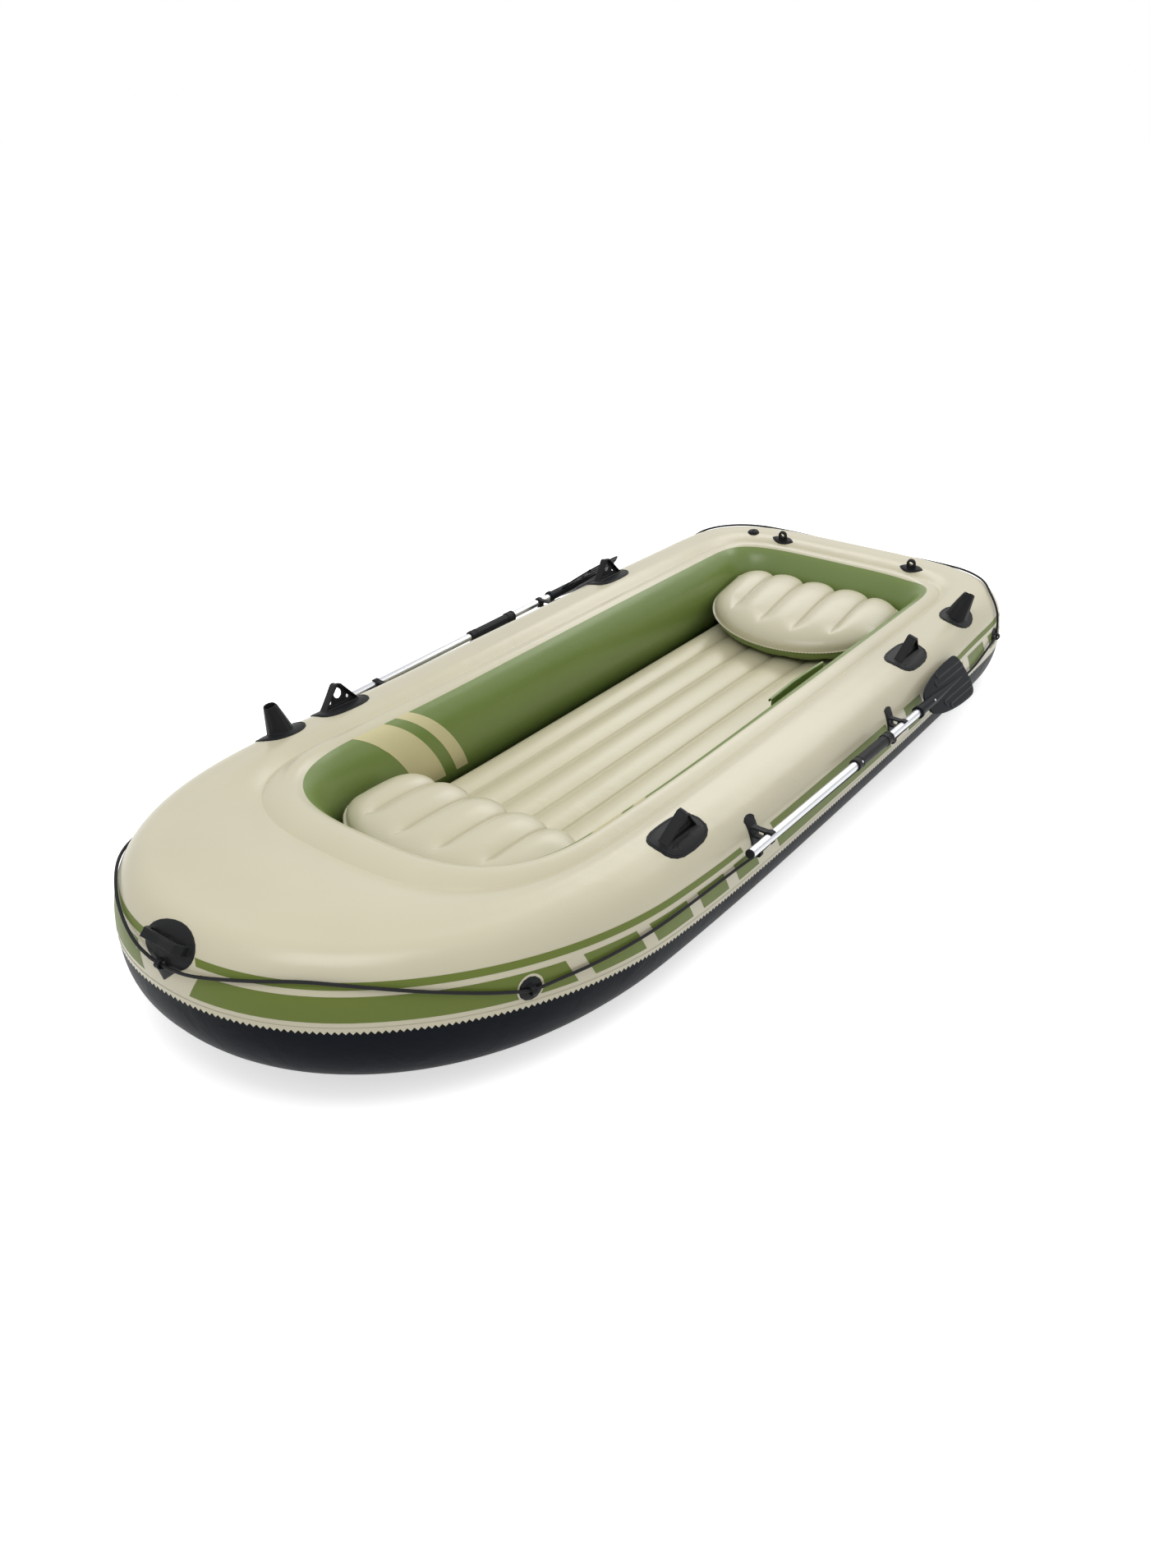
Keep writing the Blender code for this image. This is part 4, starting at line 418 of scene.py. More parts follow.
def side_point(along, up, side):
    """On the outer chamber, this far from the bow tip and this far up from the seam."""
    arc = float(np.interp(seam_angle(along), ANGLES, ARCS)) + up
    return tube_point(section_at(turn_at(along, side)), float(np.interp(arc, ARCS, ANGLES)))


# Mesh helpers


def mesh_object(name, points, faces, look, smooth=True):
    mesh = bpy.data.meshes.new(name)
    mesh.from_pydata([tuple(p) for p in points], [], faces)
    mesh.update()
    made = bpy.data.objects.new(name, mesh)
    bpy.context.scene.collection.objects.link(made)
    mesh.materials.append(look)
    if smooth:
        mesh.shade_smooth()
    return made


def grid_faces(rows, columns, closed=False, flip=False):
    faces = []
    for i in range(rows - 1):
        for j in range(columns if closed else columns - 1):
            a = i * columns + j
            b = i * columns + (j + 1) % columns
            faces.append((a, a + columns, b + columns, b))
    return [face[::-1] for face in faces] if flip else faces


def raised(points, faces, lift):
    """The points moved out along their normals."""
    work = bpy.data.meshes.new("work")
    work.from_pydata([tuple(p) for p in points], [], faces)
    work.update()
    moved = [v.co + v.normal * lift for v in work.vertices]
    bpy.data.meshes.remove(work)
    return moved


def belongs(made, body, slot, *nodes):
    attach(made, body)
    if nodes:
        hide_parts(*nodes)
    return made


# Materials


def add(tree, kind, **sockets):
    node = tree.nodes.new(kind)
    set_sockets(node, sockets)
    return node


def set_sockets(node, values):
    for name, value in values.items():
        node.inputs[name.replace("_", " ")].default_value = value


class Look:
    """A material on the Principled shader, with its patterns added by short calls."""

    def __init__(self, name, **sockets):
        self.material = bpy.data.materials.new(name)
        self.material.use_nodes = True
        self.tree = self.material.node_tree
        self.link = self.tree.links.new
        self.shader = self.tree.nodes["Principled BSDF"]
        set_sockets(self.shader, sockets)

    def pattern(self, kind="Noise", output="Fac", stretch=(1, 1, 1), **sockets):
        """A texture in object coordinates."""
        made = add(self.tree, f"ShaderNodeTex{kind}", **sockets)
        mapping = add(self.tree, "ShaderNodeMapping", Scale=stretch)
        coordinates = add(self.tree, "ShaderNodeTexCoord")
        self.link(coordinates.outputs["Object"], mapping.inputs["Vector"])
        self.link(mapping.outputs["Vector"], made.inputs["Vector"])
        return made.outputs[output]

    def tones(self, pattern, colour, dark, light):
        mix = add(self.tree, "ShaderNodeMix")
        mix.data_type = "RGBA"
        mix.inputs["A"].default_value = (*[c * dark for c in colour], 1)
        mix.inputs["B"].default_value = (*[min(1, c * light) for c in colour], 1)
        self.link(pattern, mix.inputs["Factor"])
        self.link(mix.outputs["Result"], self.shader.inputs["Base Color"])

    def gloss(self, pattern, low, high):
        roughness = add(self.tree, "ShaderNodeMapRange", To_Min=low, To_Max=high)
        self.link(pattern, roughness.inputs["Value"])
        self.link(roughness.outputs["Result"], self.shader.inputs["Roughness"])

    def bump(self, pattern, strength, distance):
        """A relief on top of those that are there."""
        made = add(self.tree, "ShaderNodeBump", Strength=strength, Distance=distance)
        self.link(pattern, made.inputs["Height"])
        normal = self.shader.inputs["Normal"]
        for link in normal.links:
            self.link(link.from_socket, made.inputs["Normal"])
        self.link(made.outputs["Normal"], normal)


def film(name, colour, roughness, tint=0.06, wrinkle=0.25, shine=0.4):
    """Welded vinyl film: faint clouding, soft wrinkles and a fine leathery grain."""
    look = Look(name, Specular_IOR_Level=shine)
    cloud = look.pattern(Scale=2.6, Detail=3.0, Roughness=0.5)
    look.tones(cloud, colour, 1 - tint, 1 + tint)
    look.gloss(cloud, roughness - 0.05, roughness + 0.06)
    look.bump(look.pattern(Scale=9.0, Detail=4.0, Roughness=0.55, Distortion=0.6), wrinkle, 0.006)
    look.bump(look.pattern("Voronoi", "Distance", Scale=900.0), 0.02, 0.0006)
    return look.material


def moulding(name, colour, roughness, shine):
    """Moulded black vinyl: an even colour with a faint grain."""
    look = Look(name, Specular_IOR_Level=shine)
    cloud = look.pattern(Scale=14.0, Detail=4.0, Roughness=0.6)
    look.tones(cloud, colour, 0.8, 1.25)
    look.gloss(cloud, roughness - 0.08, roughness + 0.08)
    look.bump(look.pattern(Scale=700.0, Detail=2.0, Roughness=0.5), 0.12, 0.0004)
    return look.material


def brushed(name, colour):
    """Drawn aluminium: fine lines along the tube."""
    look = Look(name, Metallic=1.0)
    lines = look.pattern(stretch=(2, 320, 320), Scale=1.0, Detail=3.0, Roughness=0.6)
    look.tones(lines, colour, 0.97, 1.03)
    look.gloss(lines, 0.27, 0.32)
    return look.material


def braid(name, colour):
    """Braided cord: the strands are in the mesh, and their yarns are a fine grain."""
    look = Look(name, Roughness=0.7, Specular_IOR_Level=0.25)
    yarn = look.pattern(Scale=420.0, Detail=3.0, Roughness=0.6)
    look.tones(yarn, colour, 0.6, 1.5)
    look.bump(yarn, 0.4, 0.0006)
    return look.material


LOOKS = {
    "beige": film("beige_film_look", (0.528, 0.491, 0.357), 0.30, shine=0.5),
    "green": film("green_film_look", (0.154, 0.219, 0.053), 0.30, shine=0.5),
    "navy": film("navy_film_look", (0.0042, 0.0060, 0.0095), 0.42, wrinkle=0.5, shine=0.045),
    "print": film("green_print_look", (0.128, 0.168, 0.030), 0.44, tint=0.04, shine=0.20),
    "wall_print": film("wall_print_look", (0.585, 0.530, 0.300), 0.44, tint=0.04),
    # The floor's look is the beige film made a little lighter and yellower. The lightening is painted light,
    # standing in for the dimmer light inside the hull.
    "floor": film("floor_film_painted_light_look", (0.545, 0.505, 0.354), 0.30, shine=0.5),
    "weld": film("weld_look", (0.53, 0.496, 0.371), 0.40),
    "black": moulding("black_moulding_look", (0.0100, 0.0105, 0.0115), 0.46, shine=0.135),
    "blade": moulding("blade_look", (0.0075, 0.0090, 0.0115), 0.36, shine=0.07),
    "rope": braid("rope_look", (0.010, 0.010, 0.011)),
    "metal": brushed("aluminium_look", (0.60, 0.61, 0.63)),
}


# Hull skins


def hull():
    turns = [k + i / QUARTER_STEPS for k in range(6) for i in range(QUARTER_STEPS)]
    sections = [section_at(t) for t in turns]
    seams = [seam_angle(along_at(t)) for t in turns]
    count = len(turns)
    low = math.pi / 2

    rows = [[lifted(s.crest, 0) for s in sections], [lifted(s.groove, 0) for s in sections]]
    for share in spread(0, 1, BELLY_STEPS):
        rows.append([tube_point(s, -low + (seam + low) * share) for s, seam in zip(sections, seams)])
    faces = grid_faces(len(rows), count, closed=True, flip=True)
    keel = [tuple(range(count))]
    bottom = mesh_object("hull_bottom", [p for row in rows for p in row], faces + keel, LOOKS["navy"])
    belongs(bottom, "hull", "navy_film", "hull_bottom_skin")

    rows = []
    for share in spread(0, 1, TUBE_STEPS):
        rows.append([tube_point(s, seam + (low - seam) * share) for s, seam in zip(sections, seams)])
    for angle in spread(0, low, DECK_STEPS)[1:]:
        rows.append([deck_point(s, math.sin(angle)) for s in sections])
    faces = grid_faces(len(rows), count, closed=True, flip=True)
    chamber = mesh_object("outer_chamber", [p for row in rows for p in row], faces, LOOKS["beige"])
    belongs(chamber, "hull", "beige_film", "outer_top_skin")

    rows = [[ring_point(s, a) for s in sections] for a in spread(0, low, RING_STEPS)]
    rows += [[wall_point(s, low + (coaming_angle(s) - low) * k / 4) for s in sections] for k in range(1, 5)]
    faces = grid_faces(len(rows), count, closed=True, flip=True)
    ring = mesh_object("inner_ring", [p for row in rows for p in row], faces, LOOKS["beige"])
    belongs(ring, "hull", "beige_film", "inner_deck_skin")

    rows = []
    for share in spread(0, 1, WALL_STEPS):
        rows.append([wall_point(s, coaming_angle(s) * (1 - share) - low * share) for s in sections])
    faces = grid_faces(len(rows), count, closed=True, flip=True)
    wall = mesh_object("inner_wall", [p for row in rows for p in row], faces, LOOKS["green"])
    belongs(wall, "hull", "green_film", "inner_wall_skin")
    return bottom, chamber, ring, wall


def tree_of(*pieces):
    points = []
    faces = []
    for piece in pieces:
        start = len(points)
        points += [tuple(v.co) for v in piece.data.vertices]
        faces += [[start + i for i in p.vertices] for p in piece.data.polygons]
    return BVHTree.FromPolygons(points, faces)


HULL = hull()
HULL_TREE = tree_of(*HULL)
CAD_TREE = tree_of(*(frame["nodes"][n] for n in (
    "hull_bottom_skin", "outer_top_skin", "inner_deck_skin", "inner_wall_skin"
)))
WALL_TREE = tree_of(HULL[3])
WALL_CAD_TREE = tree_of(frame["nodes"]["inner_wall_skin"])


# Seam edge, prints and stripes: thin sheets that lie on the films


class Sheets:
    """Thin sheets of one colour, gathered into one piece."""

    def __init__(self):
        self.points = []
        self.faces = []

    def add(self, place, columns, rows, lift, flip=False):
        """A sheet whose points are place(share along, share up), lifted off the film."""
        points = [place(j / columns, i / rows) for i in range(rows + 1) for j in range(columns + 1)]
        faces = grid_faces(rows + 1, columns + 1, flip=flip)
        start = len(self.points)
        self.points += raised(points, faces, lift)
        self.faces += [tuple(start + i for i in face) for face in faces]

    def make(self, name, look, body, slot):
        return belongs(mesh_object(name, self.points, self.faces, look), body, slot)


def seam_edge():
    """The beige sheet's pinked edge, welded over the navy one all round."""
    teeth = round(2 * HALF_LENGTH / PINK_PITCH)
    rows = [[], []]
    for k in range(2 * teeth):
        place = k * HALF_LENGTH / teeth
        side = 1 if place <= HALF_LENGTH else -1
        along = min(place, 2 * HALF_LENGTH - place)
        rows[0].append(side_point(along, PINK_TIP if k % 2 else PINK_VALLEY, side))
        rows[1].append(side_point(along, PINK_TOP, side))
    faces = grid_faces(2, 2 * teeth, closed=True, flip=True)
    made = mesh_object("seam_edge", raised(rows[0] + rows[1], faces, EDGE_LIFT), faces, LOOKS["beige"])
    belongs(made, "hull", "beige_film")


def side_print(sheets, side, start, end, low, high, start_slant=PRINT_SLANT):
    def place(share, rise):
        up = low + (high - low) * rise
        lean = up - PRINT_MIDDLE
        first = start - start_slant * lean
        last = end - PRINT_SLANT * lean
        return side_point(first + (last - first) * share, up, side)

    columns = max(2, round((end - start) / PRINT_STEP))
    sheets.add(place, columns, PRINT_ROWS, PRINT_LIFT, flip=side > 0)


def prints():
    sheets = Sheets()
    for side in (1, -1):
        for start, end in THIN_STRIPES:
            side_print(sheets, side, start, end, *THIN_BAND)
        side_print(sheets, side, *LONG_BLOCK, *LOW_BAND, start_slant=LONG_BLOCK_SLANT)
        for start, end in LOW_BLOCKS:
            side_print(sheets, side, start, end, *LOW_BAND)
        for start, end in TALL_BLOCKS:
            side_print(sheets, side, start, end, *TALL_BAND)
    sheets.make("side_prints", LOOKS["print"], "hull", "green_film")


def wall_stripes():
    """Two slanted beige stripes on each inner wall, near the front seat."""
    turns = np.linspace(0.02, 2.9, 400)
    reach = np.array([section_at(t).coaming.x for t in turns])
    sheets = Sheets()
    for side in (1, -1):
        for fore, aft in WALL_STRIPES:

            def place(share, rise):
                x = fore + (aft - fore) * share - WALL_SLANT * (1 - rise)
                turn = float(np.interp(-x, -reach, turns))
                section = section_at(turn if side > 0 else 6 - turn)
                top = coaming_angle(section)
                return wall_point(section, WALL_STRIPE_LOW + (top - WALL_STRIPE_LOW) * rise)

            sheets.add(place, 6, 18, PRINT_LIFT, flip=side < 0)
    sheets.make("wall_stripes", LOOKS["wall_print"], "hull", "beige_film")


# Floor and seats


def floor_plan(y, end, start, power):
    share = min(1.0, abs(y) / FLOOR_HALF)
    return start + (end - start) * (1 - share**power) ** (1 / power)


def floor_columns(steps):
    pitch = 2 * FLOOR_HALF / FLOOR_CHANNELS
    columns = [(-FLOOR_HALF, FLOOR_RIM)]
    for channel in range(FLOOR_CHANNELS):
        middle = -FLOOR_HALF + pitch * (channel + 0.5)
        for step in range(1, steps + 1):
            angle = math.pi * step / steps
            y = middle - pitch / 2 * math.cos(angle)
            base = FLOOR_RIM if abs(y) > FLOOR_HALF - pitch / 2 else FLOOR_VALLEY
            columns.append((y, base + (FLOOR_TOP - base) * math.sin(angle)))
    return columns


def floor_point(y, height, share):
    stern = floor_plan(y, FLOOR_STERN, FLOOR_STERN_X, COAMING.stern_power)
    bow = floor_plan(y, FLOOR_BOW, FLOOR_BOW_X, COAMING.bow_power)
    x = stern + (bow - stern) * share
    inset = min(x - stern, bow - x, FLOOR_END_ROUND)
    rounding = math.sqrt(max(0.0, 1 - (1 - inset / FLOOR_END_ROUND) ** 2))
    return Vector((x, y, FLOOR_RIM + (height - FLOOR_RIM) * rounding + hull_rise(x)))


def floor():
    shares = [0.5 - 0.5 * math.cos(math.pi * i / FLOOR_ROWS) for i in range(FLOOR_ROWS + 1)]
    columns = floor_columns(CHANNEL_STEPS)
    top = [floor_point(y, z, share) for share in shares for y, z in columns]
    width = len(columns)
    faces = grid_faces(len(shares), width)
    low = [floor_point(y, FLOOR_UNDERSIDE, share) for share in shares for y, _ in columns]
    start = len(top)
    faces += [tuple(start + i for i in face[::-1]) for face in faces]
    rim = [i for i in range(width)] + [(r + 1) * width - 1 for r in range(1, len(shares))]
    rim += [len(top) - 1 - i for i in range(1, width)] + [r * width for r in range(len(shares) - 2, 0, -1)]
    faces += [(a, b, b + start, a + start) for a, b in zip(rim, rim[1:] + rim[:1])]
    # Its film is the beige film lightened, as painted light for the shade inside the hull.
    made = mesh_object("floor_chamber", top + low, faces, LOOKS["floor"])
    belongs(made, "hull", "beige_film", "floor_top_skin", "floor_bottom_skin")
    return made


def floor_welds():
    """The flat weld in the valley between two channels."""
    sheets = Sheets()
    pitch = 2 * FLOOR_HALF / FLOOR_CHANNELS
    for weld in range(1, FLOOR_CHANNELS):
        middle = -FLOOR_HALF + pitch * weld

        def place(share, rise):
            y = middle + WELD_WIDTH * (rise - 0.5)
            return floor_point(y, FLOOR_VALLEY + WELD_RISE, 0.5 - 0.5 * math.cos(math.pi * share))

        sheets.add(place, FLOOR_ROWS, 1, 0.0)
    sheets.make("floor_welds", LOOKS["weld"], "hull", "beige_film")


def seat_columns(steps):
    pitch = 2 * SEAT_HALF / SEAT_LOBES
    columns = [(-SEAT_HALF, 0.0)]
    for lobe in range(SEAT_LOBES):
        middle = -SEAT_HALF + pitch * (lobe + 0.5)
        for step in range(1, steps + 1):
            angle = math.pi * step / steps
            columns.append((middle - pitch / 2 * math.cos(angle), math.sin(angle)))
    return columns


def seat_point(y, lobe, share, nose, height):
    swell = (1 - abs(2 * share - 1) ** SEAT_PROFILE_POWER) ** (1 / SEAT_PROFILE_POWER)
    seam_end = (SEAT_SEAM_SHARE if height > 0 else BELLY_SEAM_SHARE) + SEAT_SEAM_FADE
    fade = min(1.0, max(0.0, (seam_end - share) / SEAT_SEAM_FADE))
    side = min(1.0, abs(y) / SEAT_HALF)
    back = SEAT_LOBE_BULGE * (1 - lobe) * (1 - side**2) + SEAT_CORNER * side**SEAT_CORNER_POWER
    front = SEAT_LOBE_LENGTH + nose * math.sqrt(1 - side**2)
    edge = math.sqrt(1 - side**SEAT_EDGE_POWER)
    seam = 1 - eased(fade) * SEAT_SEAM_DEPTH * (1 - lobe)
    return Vector((back + (front - back) * share, y, height * swell * edge * seam))


def seat_skin(node, rest, nose, height, tone, body):
    shares = [0.5 - 0.5 * math.cos(math.pi * i / SEAT_ROWS) for i in range(SEAT_ROWS + 1)]
    columns = seat_columns(LOBE_STEPS)
    points = [seat_point(y, lobe, share, nose, height) for share in shares for y, lobe in columns]
    faces = grid_faces(len(shares), len(columns), flip=height < 0)
    made = mesh_object(f"{node}_film", [rest @ p for p in points], faces, LOOKS[tone])
    belongs(made, body, f"{tone}_film", node)
    return points, len(shares), len(columns)


def seat_rim(name, rest, points, rows, width, body):
    """The welded rim where the two skins meet, its edge pinked."""
    line = [points[i] for i in range(width)] + [points[(r + 1) * width - 1] for r in range(1, rows)]
    line += [points[-1 - i] for i in range(1, width)] + [points[r * width] for r in range(rows - 2, 0, -1)]
    flat = [Vector((p.x, p.y)) for p in line]
    gaps = [(b - a).length for a, b in zip(flat, flat[1:] + flat[:1])]
    reach = np.concatenate([[0], np.cumsum(gaps)])
    count = 2 * round(reach[-1] / RIM_PITCH)
    spots = np.arange(count) * reach[-1] / count
    xs = np.interp(spots, reach, [p.x for p in flat + flat[:1]])
    ys = np.interp(spots, reach, [p.y for p in flat + flat[:1]])
    inner = [Vector((x, y)) for x, y in zip(xs, ys)]
    outer = []
    for k, spot in enumerate(inner):
        along = inner[(k + 2) % count] - inner[k - 2]
        out = Vector((-along.y, along.x)).normalized()
        outer.append(spot + out * (RIM_TIP if k % 2 else RIM_VALLEY))
    ring = [rest @ p.to_3d() for p in inner + outer]
    faces = grid_faces(2, count, closed=True)
    belongs(mesh_object(name, ring, faces, LOOKS["beige"]), body, "beige_film")


def seat(name, place_at, nose, tilt):
    rest = Matrix.Translation(place_at) @ Matrix.Rotation(math.radians(tilt), 4, "Y")
    top = seat_skin(f"{name}_top", rest, nose, SEAT_CROWN, "beige", name)
    seat_skin(f"{name}_bottom", rest, nose, -SEAT_BELLY, "green", name)
    seat_rim(f"{name}_rim", rest, *top, name)
    paint(f"{name}_valve", LOOKS["black"])


# Black mouldings: the part's own fittings, set down on the finer hull and softened


def paint(node, look):
    shown = frame["nodes"][node]
    shown.data.materials.clear()
    shown.data.materials.append(look)


def applied(made):
    """Bakes the modifiers of a piece into its mesh."""
    bpy.context.view_layer.update()
    baked = bpy.data.meshes.new_from_object(made.evaluated_get(bpy.context.evaluated_depsgraph_get()))
    made.modifiers.clear()
    old = made.data
    made.data = baked
    bpy.data.meshes.remove(old)


def softened(name, points, faces, voxel):
    made = mesh_object(name, points, faces, LOOKS["black"])
    remesh = made.modifiers.new("grain", "REMESH")
    remesh.mode = "VOXEL"
    remesh.voxel_size = voxel
    smooth = made.modifiers.new("round", "SMOOTH")
    smooth.factor = 0.5
    smooth.iterations = ROUNDING
    thin = made.modifiers.new("thin", "DECIMATE")
    thin.ratio = THINNING
    applied(made)
    made.data.shade_smooth()
    return made


def refined(source):
    """Points and triangles of a copy of a mesh, its long edges split."""
    work = bmesh.new()
    work.from_mesh(source)
    bmesh.ops.triangulate(work, faces=work.faces[:])
    for _ in range(REFINE_ROUNDS):
        long = [edge for edge in work.edges if edge.calc_length() > LONGEST_EDGE]
        if not long:
            break
        bmesh.ops.subdivide_edges(work, edges=long, cuts=1)
        bmesh.ops.triangulate(work, faces=work.faces[:])
    work.verts.index_update()
    points = [vertex.co.copy() for vertex in work.verts]
    faces = [tuple(vertex.index for vertex in face.verts) for face in work.faces]
    work.free()
    return points, faces


def film_shift(point, normal, shown, solid):
    """From the part's own surface to the finer film at this point, and the point's height over the first."""
    start = point + normal * CAST_HEIGHT
    fine = shown.ray_cast(start, -normal)[0]
    rough = solid.ray_cast(start, -normal)[0]
    if fine is None or rough is None:
        return Vector(), 0.0
    return fine - rough, (point - rough).dot(normal)


def blunted(point, middle, normal):
    """Moves a point of a clip's oval pad sideways, so that the pad's ends are blunter."""
    share = abs((point - middle).dot(normal.cross(Vector((1, 0, 0))))) / CLIP_PAD_HALF
    share = min(0.98, share)
    wide = (1 - share**CLIP_PAD_POWER) ** (1 / CLIP_PAD_POWER)
    point.x = middle.x + (point.x - middle.x) * wide / math.sqrt(1 - share * share)


def fitting(node, normal, voxel=0.0014, reach=1.0, shown=HULL_TREE, solid=CAD_TREE, pad=None):
    """A copy of a fitting, each point moved by the height of the finer film over the part's own."""
    points, faces = refined(frame["nodes"][node].data)
    for point in points:
        shift, height = film_shift(point, normal, shown, solid)
        if pad and height < CLIP_PAD_HEIGHT:
            blunted(point, pad, normal)
        point += shift * (1 - eased((height - reach) / reach))
        if height < BURY_BELOW:
            point -= normal * BURY_DEPTH
    made = softened(f"{node}_moulding", points, faces, voxel)
    return belongs(made, "hull", "black_moulding", node)


def middle_of(node):
    points = [v.co for v in frame["nodes"][node].data.vertices]
    return sum(points, Vector()) / len(points)


def fittings():
    up = Vector((0, 0, 1))
    lips = Sheets()
    for side, y in (("port", 1), ("starboard", -1)):
        for end, x in zip(("fore", "aft"), OARLOCKS):
            made = fitting(f"oarlock_{side}_{end}", up)
            pad_lip(lips, made, x, y * DECK_FITTING_Y, OARLOCK_LIP)
            grommet = f"rope_grommet_{side}_{end}"
            fitting(grommet, film_normal(middle_of(grommet)), voxel=0.0009)
            clip = Vector((ROPE_CLIPS[y][0 if end == "fore" else 1], y * OAR_Y, 0))
            clip.z = oar_height(clip.x, y) - CLIP_PAD_DROP
            fitting(f"oar_clip_{side}_{end}", film_normal(clip), voxel=0.0009, reach=CLIP_REACH, pad=clip)
        made = fitting(f"rod_holder_{side}", up)
        pad_lip(lips, made, ROD_HOLDERS[y], y * DECK_FITTING_Y, ROD_HOLDER_LIP)
        fitting(f"motor_lug_{side}", up, voxel=0.0010)
    lips.make("pad_lips", LOOKS["black"], "hull", "black_moulding")
    fitting("bow_handle", BOW_OUT, voxel=0.0011)


def pad_lip(lips, made, x, y, size):
    """A thin raised line round a pad, a little inside its edge."""
    pad = tree_of(made)
    half_length, half_width, power = size
    line = []
    for k in range(LIP_POINTS):
        angle = 2 * math.pi * k / LIP_POINTS
        spot = Vector((x + half_length * powered(math.cos(angle), power), 0, CAST_HEIGHT * 2))
        spot.y = y + half_width * powered(math.sin(angle), power)
        hit = pad.ray_cast(spot, Vector((0, 0, -1)))[0]
        line.append(hit if hit is not None else HULL_TREE.ray_cast(spot, Vector((0, 0, -1)))[0])
    points = []
    for k, spot in enumerate(line):
        along = (line[(k + 1) % LIP_POINTS] - line[k - 1]).normalized()
        across = along.cross(Vector((0, 0, 1))).normalized()
        for turn in range(6):
            angle = math.pi * turn / 3
            points.append(spot + (across * math.cos(angle) + Vector((0, 0, math.sin(angle)))) * LIP_RADIUS)
    start = len(lips.points)
    lips.points += points
    faces = grid_faces(LIP_POINTS, 6, closed=True)
    last = (LIP_POINTS - 1) * 6
    faces += [(last + k, k, (k + 1) % 6, last + (k + 1) % 6) for k in range(6)]
    lips.faces += [tuple(start + i for i in face) for face in faces]


def pale_rings():
    """The ring left bare in the print round each fore grommet."""
    sheets = Sheets()
    for side in ("port", "starboard"):
        middle, normal, _, _ = HULL_TREE.find_nearest(middle_of(f"rope_grommet_{side}_fore"))
        across = normal.cross(Vector((0, 0, 1))).normalized()
        up = across.cross(normal)

        def place(share, rise):
            angle = 2 * math.pi * share
            reach = PALE_RING[0] + (PALE_RING[1] - PALE_RING[0]) * rise
            spot = middle + (across * math.cos(angle) + up * math.sin(angle)) * reach
            return HULL_TREE.find_nearest(spot)[0]

        sheets.add(place, LIP_POINTS, 2, PALE_RING_LIFT, flip=True)
    sheets.make("pale_rings", LOOKS["beige"], "hull", "beige_film")


def film_normal(point):
    return HULL_TREE.find_nearest(point)[1]


def screw_valve(prefix, shown, solid):
    """A valve whose base follows the film and whose cap moves whole, along the axis it turns about."""
    cap = f"{prefix}_valve_cap"
    axis = next(Vector(joint["axis"]).normalized() for joint in frame["joints"] if joint["child"] == cap)
    fitting(f"{prefix}_valve_base", axis, voxel=0.0007, shown=shown, solid=solid)
    points, faces = refined(frame["nodes"][cap].data)
    shift = film_shift(middle_of(cap), axis, shown, solid)[0]
    made = softened(f"{cap}_moulding", [p + shift for p in points], faces, 0.0006)
    belongs(made, cap, "black_moulding", cap)


def valves(floor_tree):
    """The screw valves and the studs beside the pouch."""
    screw_valve("outer", HULL_TREE, CAD_TREE)
    screw_valve("inner", WALL_TREE, WALL_CAD_TREE)
    screw_valve("floor", floor_tree, tree_of(frame["nodes"]["floor_top_skin"]))
    for end in ("fore", "aft"):
        fitting(f"pouch_stud_{end}", Vector((0, -1, 0)), voxel=0.0007, shown=WALL_TREE, solid=WALL_CAD_TREE)


# Grab rope, along the part's route on the finer hull


def oar_height(x, side):
    return OAR_HEIGHTS[side] + OAR_SLOPES[side] * x


def level_run(x, height):
    """Two points that keep the rope level as it passes through a loop."""
    return ((x + LOOP_WIDTH, height), (x - LOOP_WIDTH, height))


def rope_keys(side):
    keys = ROPE_BOW_KEYS + level_run(*ROPE_GROMMET_FORE)
    for clip in ROPE_CLIPS[side]:
        keys += level_run(clip, oar_height(clip, side) - ROPE_CLIP_DROP)
    return keys + (ROPE_LOW_KEY,) + level_run(*ROPE_GROMMET_AFT) + ROPE_CORNER_KEYS + ROPE_STERN_KEYS


def rope_hold(x, side):
    """Distance to the nearest loop that holds the rope."""
    holds = (ROPE_GROMMET_FORE[0], ROPE_GROMMET_AFT[0], HULL_LENGTH / 2) + ROPE_CLIPS[side]
    return min(abs(x - hold) for hold in holds)


def rope_lift(x, side):
    """Clear of the film, and over the pad where a loop holds the rope."""
    near = eased((rope_hold(x, side) - LOOP_REACH / 2) / LOOP_REACH)
    return ROPE_LIFT + (ROPE_LOOP_LIFT - ROPE_LIFT) * (1 - near)


def rope_half(side):
    """Half of the rope from the bow to the stern, on the port side, eased where its runs meet."""
    keys = rope_keys(side)
    route = []
    for turn in np.interp(np.linspace(0, HALF_LENGTH, ROPE_STEPS), HALF_ALONG, HALF_TURNS):
        section = section_at(float(turn))
        across = section.across.to_3d()
        spot = section.outer.to_3d() - across * ROPE_CAST
        spot.z = float(np.interp(-section.outer.x, [-x for x, _ in keys], [z for _, z in keys]))
        hit, normal, _, _ = HULL_TREE.ray_cast(spot, across)
        route.append(hit + normal * rope_lift(section.outer.x, side))
    places = np.array([tuple(p) for p in route])
    free = np.array([[eased(rope_hold(p.x, side) / ROPE_PIN)] for p in route[1:-1]])
    for _ in range(ROPE_EASING):
        places[1:-1] += free * (places[:-2] - 2 * places[1:-1] + places[2:]) / 4
    for k, spot in enumerate(places):
        near, normal, _, _ = HULL_TREE.find_nearest(spot)
        short = ROPE_LIFT - (Vector(spot) - near).dot(normal)
        if short > 0:
            places[k] += np.array(normal) * short
    places[0][1] = ROPE_END_GAP / 2
    places[-1][1] = 0.0
    return places


def rope_route():
    mirror = np.array([1, -1, 1])
    points = np.concatenate([rope_half(1), rope_half(-1)[-2::-1] * mirror])
    return [Vector(p) for p in points]


